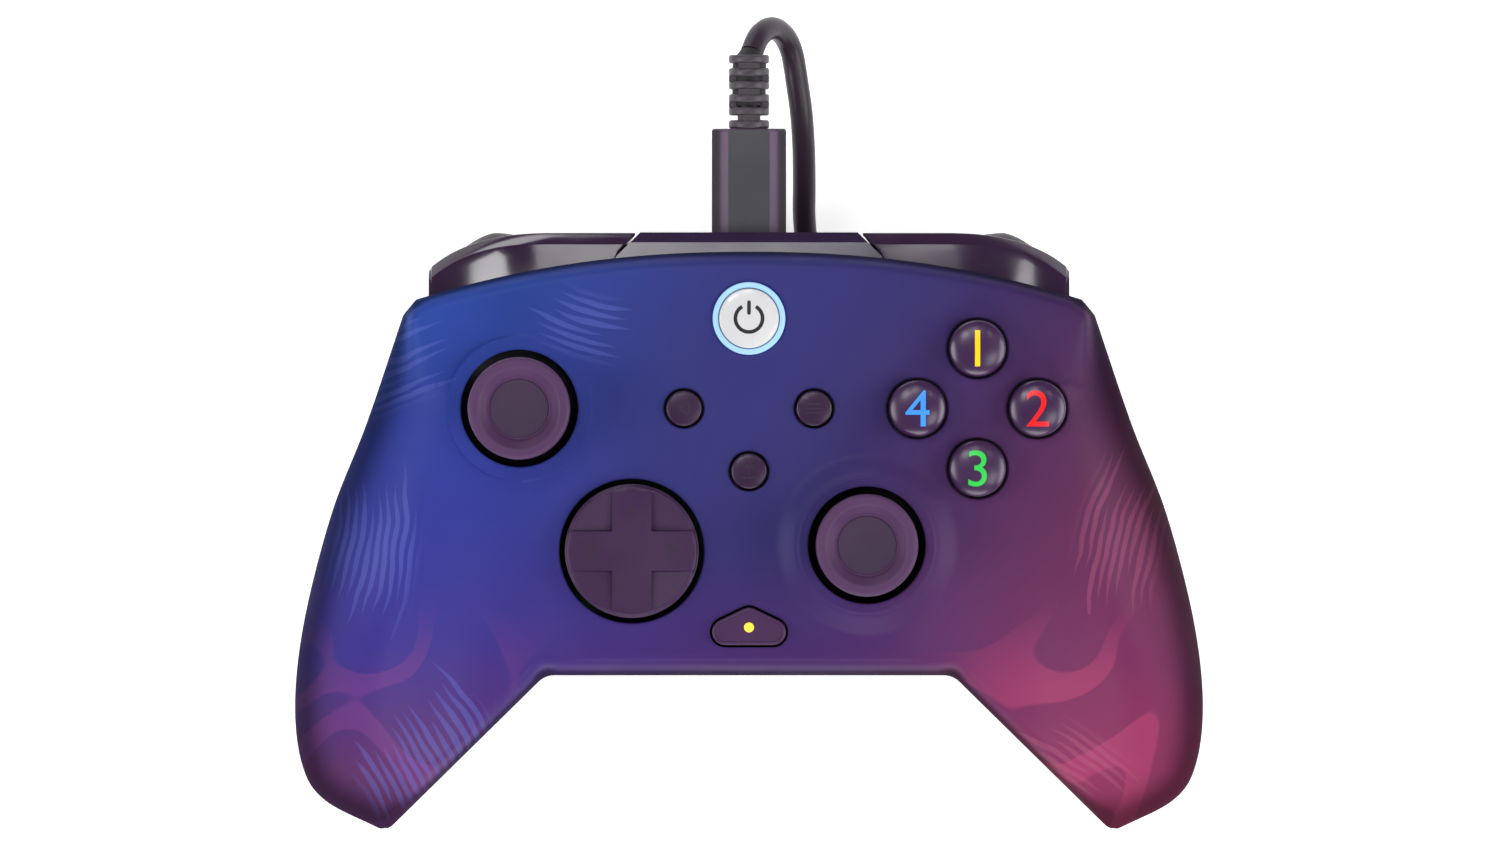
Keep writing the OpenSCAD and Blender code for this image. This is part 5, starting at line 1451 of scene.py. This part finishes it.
def dpad():
    walls = [CROSS_HALF + ARM_WALL * k / 4 for k in range(5)]
    lines = walls + [0, 0.8, 1.6, 2.4, CROSS_HALF - 0.3] + list(np.arange(CROSS_HALF + 0.6, DPAD_R, 0.6))
    lines = np.array(sorted(set(np.round(lines + [-v for v in lines], 4))))
    gx, gy = np.meshgrid(lines, lines)
    points = np.column_stack([gx.ravel(), gy.ravel()])
    points = points[np.hypot(points[:, 0], points[:, 1]) < DPAD_R - DPAD_RIM_W]
    outline = circle((0, 0), DPAD_R, 180)
    rings = [circle((0, 0), DPAD_R - d, 180) for d in (0.06, 0.12, 0.22, 0.3, 0.42, 0.56)]
    flat, triangles, loops = filled(outline, [], np.vstack([points] + rings))
    z = dpad_height(flat[:, 0], flat[:, 1])
    verts = [(DPAD[0] + x, DPAD[1] + y, h) for (x, y), h in zip(flat, z)]
    faces = [tuple(t) for t in triangles]
    ring = loops[0]
    start = len(verts)
    verts += [(DPAD[0] + flat[i][0], DPAD[1] + flat[i][1], DPAD_UNDERSIDE) for i in ring]
    n = len(ring)
    faces += [(ring[k], start + k, start + (k + 1) % n, ring[(k + 1) % n]) for k in range(n)]
    faces.append(tuple(range(start, start + n)))
    finish_piece("dpad_skin", verts, faces, DPAD_SATIN, "dpad", "dpad", ["dpad"], sharp=40)


dpad()


# Flat mark laid on a curved top: outlines are filled and lifted a hair above the surface
MARK_LIFT = 0.02
MARK_STEP = 0.12
MARK_GRID = 0.3
MARK_CLEAR = 0.08


def mark(name, outlines, at, height, material, body, slot):
    verts, faces = [], []
    for outline, holes in outlines:
        outline = even(np.vstack([outline, outline[:1]]), MARK_STEP)[:-1]
        holes = [even(np.vstack([h, h[:1]]), MARK_STEP)[:-1] for h in holes]
        low, high = outline.min(0), outline.max(0)
        columns, rows = (np.arange(low[k], high[k], MARK_GRID) for k in (0, 1))
        gx, gy = np.meshgrid(columns, rows)
        grid = np.column_stack([gx.ravel(), gy.ravel()])
        grid = grid[inside(grid, outline)]
        for h in holes:
            grid = grid[~inside(grid, h)]
        closed = np.vstack([outline, outline[:1]])
        if len(grid):
            grid = grid[nearest(grid, closed)[0] > MARK_CLEAR]
        flat, triangles, _ = filled(outline, holes, grid)
        start = len(verts)
        verts += [(at[0] + x, at[1] + y, height(x, y) + MARK_LIFT) for x, y in flat]
        faces += [tuple(start + i for i in t) for t in triangles]
    return finish_piece(name, verts, faces, material, body, slot, facing=1)


# Bar with round ends between two points
def bar(a, b, width):
    a, b = np.array(a, float), np.array(b, float)
    along = (b - a) / np.linalg.norm(b - a)
    turn = math.atan2(along[1], along[0])
    r = width / 2
    points = []
    for middle, start in ((b, turn - math.pi / 2), (a, turn + math.pi / 2)):
        for k in range(7):
            angle = start + math.pi * k / 6
            points.append(middle + r * np.array([math.cos(angle), math.sin(angle)]))
    return (np.array(points), [])


# Bars from point to point
def strokes(points, width):
    return [bar(a, b, width) for a, b in zip(points, points[1:])]


# Ring and arc of even width
def ring_mark(middle, r, width):
    return (circle(middle, r + width / 2, 40), [circle(middle, r - width / 2, 32)])


def arc_mark(middle, r, width, start, end):
    angles = np.radians(np.linspace(start, end, 32))
    outer, inner = (arc(middle, r + half, angles) for half in (width / 2, -width / 2))
    return (np.vstack([outer, inner[::-1]]), [])


# Faint signs on the direction pad's arms: plus, minus, a dot in a ring and an arrow head
SIGN_W = 0.24
PLUS_W = 0.26


def dpad_marks():
    signs = [bar((-0.5, 7.0), (0.5, 7.0), PLUS_W), bar((0, 6.5), (0, 7.5), PLUS_W)]
    signs += [bar((-0.55, -7.0), (0.55, -7.0), PLUS_W)]
    signs += [ring_mark((-7.0, 0), 1.25, SIGN_W), ring_mark((-7.0, 0), 0.42, 0.3)]
    signs += strokes([(6.3, 1.1), (7.7, 0), (6.3, -1.1), (6.3, 1.1)], SIGN_W)
    mark("dpad_marks", signs, DPAD, lambda x, y: float(dpad_height(x, y)), MARK_FAINT, "dpad", "dpad")


dpad_marks()


# Domed button: a straight wall on a flange, with an elliptical dome
def dome_height(r_button, top, dome):
    return lambda x, y: top - dome + dome * math.sqrt(max(0, 1 - (x * x + y * y) / r_button**2))


FLANGE_W = 1.1
FLANGE_T = 1
FLANGE_GAP = 0.15
DOME_EDGE = 0.25


def domed_button(name, at, r, rise, dome, material, body, slot, node, flange_w=FLANGE_W):
    level = level_at(at)
    top = level + rise
    angles = np.radians(np.linspace(8, 90, 18))
    flange = level - WALL_DEPTH - FLANGE_GAP
    below = flange - FLANGE_T
    profile = [(r * 0.9, below), (r + flange_w, below), (r + flange_w, flange), (r, flange)]
    profile += [(r, top - dome - DOME_EDGE)]
    profile += [(r * math.cos(a), top - dome + dome * math.sin(a)) for a in angles[:-1]] + [(0.01, top)]
    verts, faces = turned(profile, at, 64)
    finish_piece(name + "_skin", verts, faces, material, body, slot, [node], sharp=60)
    return dome_height(r, top, dome)


# Numeral from the built-in letter shapes, made a mesh and laid on the dome
NUMERALS = {"top": "1", "right": "2", "bottom": "3", "left": "4"}
NUMERAL_H = 6.1
NUMERAL_EDGE = 0.5
SLOT_OF = {"top": "button_yellow", "right": "button_red", "bottom": "button_green", "left": "button_blue"}


def numeral(place, at, height):
    letters = bpy.data.curves.new("numeral_" + place, "FONT")
    letters.body = NUMERALS[place]
    letters.resolution_u = 8
    flat = evaluated(added("numeral_carrier", letters))
    work = bmesh.new()
    work.from_mesh(flat)
    points = np.array([v.co[:2] for v in work.verts])
    low, high = points.min(0), points.max(0)
    scale = NUMERAL_H / (high[1] - low[1])
    middle = (low + high) / 2
    for v in work.verts:
        v.co.x = (v.co.x - middle[0]) * scale
        v.co.y = (v.co.y - middle[1]) * scale
    bmesh.ops.triangulate(work, faces=work.faces)
    for _ in range(4):
        long_edges = [e for e in work.edges if e.calc_length() > NUMERAL_EDGE]
        if long_edges:
            bmesh.ops.subdivide_edges(work, edges=long_edges, cuts=1)
            bmesh.ops.triangulate(work, faces=work.faces)
    for v in work.verts:
        v.co.z = (height(v.co.x, v.co.y) + MARK_LIFT) * MM
        v.co.x = (v.co.x + at[0]) * MM
        v.co.y = (v.co.y + at[1]) * MM
    mesh = bpy.data.meshes.new("numeral_" + place)
    work.to_mesh(mesh)
    work.free()
    bpy.data.meshes.remove(flat)
    finish, body = NUMERAL_PAINTED_GLOWS[place], "face_button_" + place
    finish_mesh("numeral_" + place, mesh, finish, body, facing=1)


for place, at in FACE_BUTTONS.items():
    button = "face_button_" + place
    dome = domed_button(button, at, *BUTTON_SHAPE, BUTTON_CLEAR, button, SLOT_OF[place], button)
    numeral(place, at, dome)

# Small buttons with faint signs: a triangle, three bars and an arrow over a line
SMALL_SIGNS = {
    "view": strokes([(0.9, 1.1), (-0.9, 0), (0.9, -1.1), (0.9, 1.1)], SIGN_W),
    "menu": [bar((-1.2, d), (1.2, d), SIGN_W) for d in (-0.75, 0, 0.75)],
    "share": [
        bar((-1.3, -1.1), (1.3, -1.1), SIGN_W), bar((0, -0.5), (0, 1.2), SIGN_W),
        bar((0, 1.2), (-0.7, 0.5), SIGN_W), bar((0, 1.2), (0.7, 0.5), SIGN_W),
    ],
}
for place, at in SMALL_BUTTONS.items():
    button = place + "_button"
    dome = domed_button(button, at, *SMALL_SHAPE, SMALL_SATIN, button, "small_button", button)
    mark(place + "_sign", SMALL_SIGNS[place], at, dome, MARK_FAINT, button, "small_button")


# Guide button: a white disc in a glowing ring, with a plain power sign
GUIDE_FLANGE_W = 0.1
POWER_W = 0.62
RING_R = (5.2, 6.15)
RING_RISE = 0.5
RING_DEPTH = 2.6


def guide():
    name = "guide_button"
    dome = domed_button(name, GUIDE, *GUIDE_SHAPE, GUIDE_WHITE, name, "guide_white", name, GUIDE_FLANGE_W)
    sign = [arc_mark((0, 0), 2.3, POWER_W, 120, 420), bar((0, 0.9), (0, 2.75), POWER_W)]
    mark("guide_sign", sign, GUIDE, dome, GUIDE_MARK, name, "guide_white")
    level = level_at(GUIDE)
    low, high = level - RING_DEPTH, level + RING_RISE
    corners = [(RING_R[0], low), (RING_R[0], high), (RING_R[1], high), (RING_R[1], low)]
    profile = rounded(corners, {1: 0.2, 2: 0.3}) + [corners[0]]
    verts, faces = turned(profile, GUIDE, 72)
    finish_piece("guide_ring_skin", verts, faces, RING_GLOW, "casing", "light_ring", ["guide_ring"], sharp=50)


guide()


# Function button: a rounded triangle with a thin raised rim and an amber lens
# Its rings are listed as growth of the outline and drop below the top
FUNCTION_RISE = 1.0
FUNCTION_RINGS = [(0, 4), (0, 0.3), (-0.08, 0.1), (-0.25, 0), (-0.5, 0), (-0.62, 0.14), (-0.8, 0.14)]
LENS_R = 0.85
LENS_DOME = 0.25


def function_button():
    name = "function_button"
    top = level_at(FUNCTION) + FUNCTION_RISE
    rows = [[(x, y, top - drop) for x, y in function_outline(grow)] for grow, drop in FUNCTION_RINGS]
    verts, faces = lofted(rows)
    finish_piece(name + "_skin", verts, faces, FUNCTION_SATIN, name, "small_button", [name])
    lens_at = (FUNCTION[0], FUNCTION[1] + 0.5)
    angles = np.radians((0, 25, 50, 75, 89))
    profile = [(LENS_R, top - 2)]
    profile += [(LENS_R * math.cos(a), top - 0.1 + LENS_DOME * math.sin(a)) for a in angles]
    verts, faces = turned(profile, lens_at, 32)
    finish_piece("function_lens_skin", verts, faces, AMBER, name, "amber_lens", ["function_lens"], sharp=70)


function_button()

# Finish of the solids that stay as they are
kept_finishes = {
    "steel": STEEL, "bracket": BRACKET_GREY, "board": BOARD_GREEN, "chip": CHIP_BLACK,
    "switch": SWITCH_GREY, "jack": CHIP_BLACK, "lever": LEVER_WHITE, "membrane": MEMBRANE,
    "weight": BRASS_GREY, "bridge": BRIDGE_GLOSS,
    "back_button": TRIGGER_SATIN, "stick_module": STEEL, "casing": CASING_SATIN, "faceplate": FACEPLATE,
    "bumper": PLUM_GLOSS, "trigger": TRIGGER_SATIN, "dpad": DPAD_SATIN, "button_yellow": BUTTON_CLEAR,
    "button_red": BUTTON_CLEAR, "button_green": BUTTON_CLEAR, "button_blue": BUTTON_CLEAR,
    "small_button": SMALL_SATIN, "light_ring": RING_GLOW, "guide_white": GUIDE_WHITE, "amber_lens": AMBER,
    "plug": PLUG_FACE, "cord": CORD_RUBBER, "tie": TIE_CLOTH, "stick_cap": STICK_RUBBER,
}
slot_of_node = {s["node"]: s["material_slot"] for s in frame["record"]["subparts"]}
for name, solid in nodes.items():
    solid.data.materials.clear()
    solid.data.materials.append(kept_finishes[slot_of_node[name]])

# Pale floor: white to the camera, with the shadow of the pad kept faintly
FLOOR_HALF = 1.5
FLOOR_GLOW = 0.62


def floor():
    mesh = bpy.data.meshes.new("floor")
    h = FLOOR_HALF
    mesh.from_pydata([(-h, -h, 0), (h, -h, 0), (h, h, 0), (-h, h, 0)], [], [(0, 1, 2, 3)])
    made, tree, shader = new_material("floor_white")
    do = Steps(tree)
    shader.inputs["Base Color"].default_value = (0.9, 0.9, 0.9, 1)
    shader.inputs["Roughness"].default_value = 0.9
    shader.inputs["Specular IOR Level"].default_value = 0.0
    light = do.node("ShaderNodeLightPath")
    seen = do.maths("MAXIMUM", light["Is Camera Ray"], light["Is Glossy Ray"])
    seen = do.maths("MAXIMUM", seen, light["Is Transmission Ray"])
    white = do.node("ShaderNodeEmission", {"Strength": FLOOR_GLOW})["Emission"]
    dark = do.node("ShaderNodeEmission", {"Strength": 0.0})["Emission"]
    # Sockets that share a name are given by their place
    choice = do.node("ShaderNodeMixShader", {0: seen, 1: dark, 2: white})["Shader"]
    total = do.node("ShaderNodeAddShader", {0: shader.outputs["BSDF"], 1: choice})["Shader"]
    do.put(tree.nodes["Material Output"].inputs["Surface"], total)
    mesh.materials.append(made)
    plane = added("floor", mesh)


floor()

# Soft studio light: a dim even world, broad panels round the pad and a disc above it
world = bpy.data.worlds.new("studio")
bpy.context.scene.world = world
world.use_nodes = True
world.node_tree.nodes["Background"].inputs["Color"].default_value = (1, 1, 1, 1)
world.node_tree.nodes["Background"].inputs["Strength"].default_value = 0.12


def softbox(name, azimuth, elevation, away, size, watts, shape="ELLIPSE"):
    lamp = bpy.data.lights.new(name, "AREA")
    lamp.shape = shape
    lamp.size, lamp.size_y = size
    lamp.energy = watts
    a, e = math.radians(azimuth), math.radians(elevation)
    middle = Vector((0, 0, FACE_Z * MM))
    way = Vector((math.cos(e) * math.cos(a), math.cos(e) * math.sin(a), math.sin(e)))
    holder = added(name, lamp)
    holder.location = middle + way * away
    holder.rotation_euler = (-way).to_track_quat("-Z", "Y").to_euler()
    holder.visible_camera = False


softbox("right_panel", -5, 30, 0.9, (0.8, 0.6), 5)
softbox("left_panel", 185, 35, 0.9, (0.6, 0.6), 4)
softbox("front_panel", -90, 34, 1.0, (0.8, 0.5), 4.2)
softbox("lower_disc", -30, 62, 0.9, (0.3, 0.3), 0.8)

# Small panels behind the pad, which the bridge and the bumpers mirror
softbox("bridge_disc", 92, 61, 0.9, (0.14, 0.27), 0.5)
softbox("left_patch", 125, 63, 0.9, (0.14, 0.2), 0.85, "RECTANGLE")
softbox("right_patch", 48, 58, 0.9, (0.06, 0.12), 0.15, "RECTANGLE")
softbox("back_strip", 112, 5, 0.9, (0.66, 0.14), 1.2)

bpy.context.scene.view_settings.view_transform = "Standard"
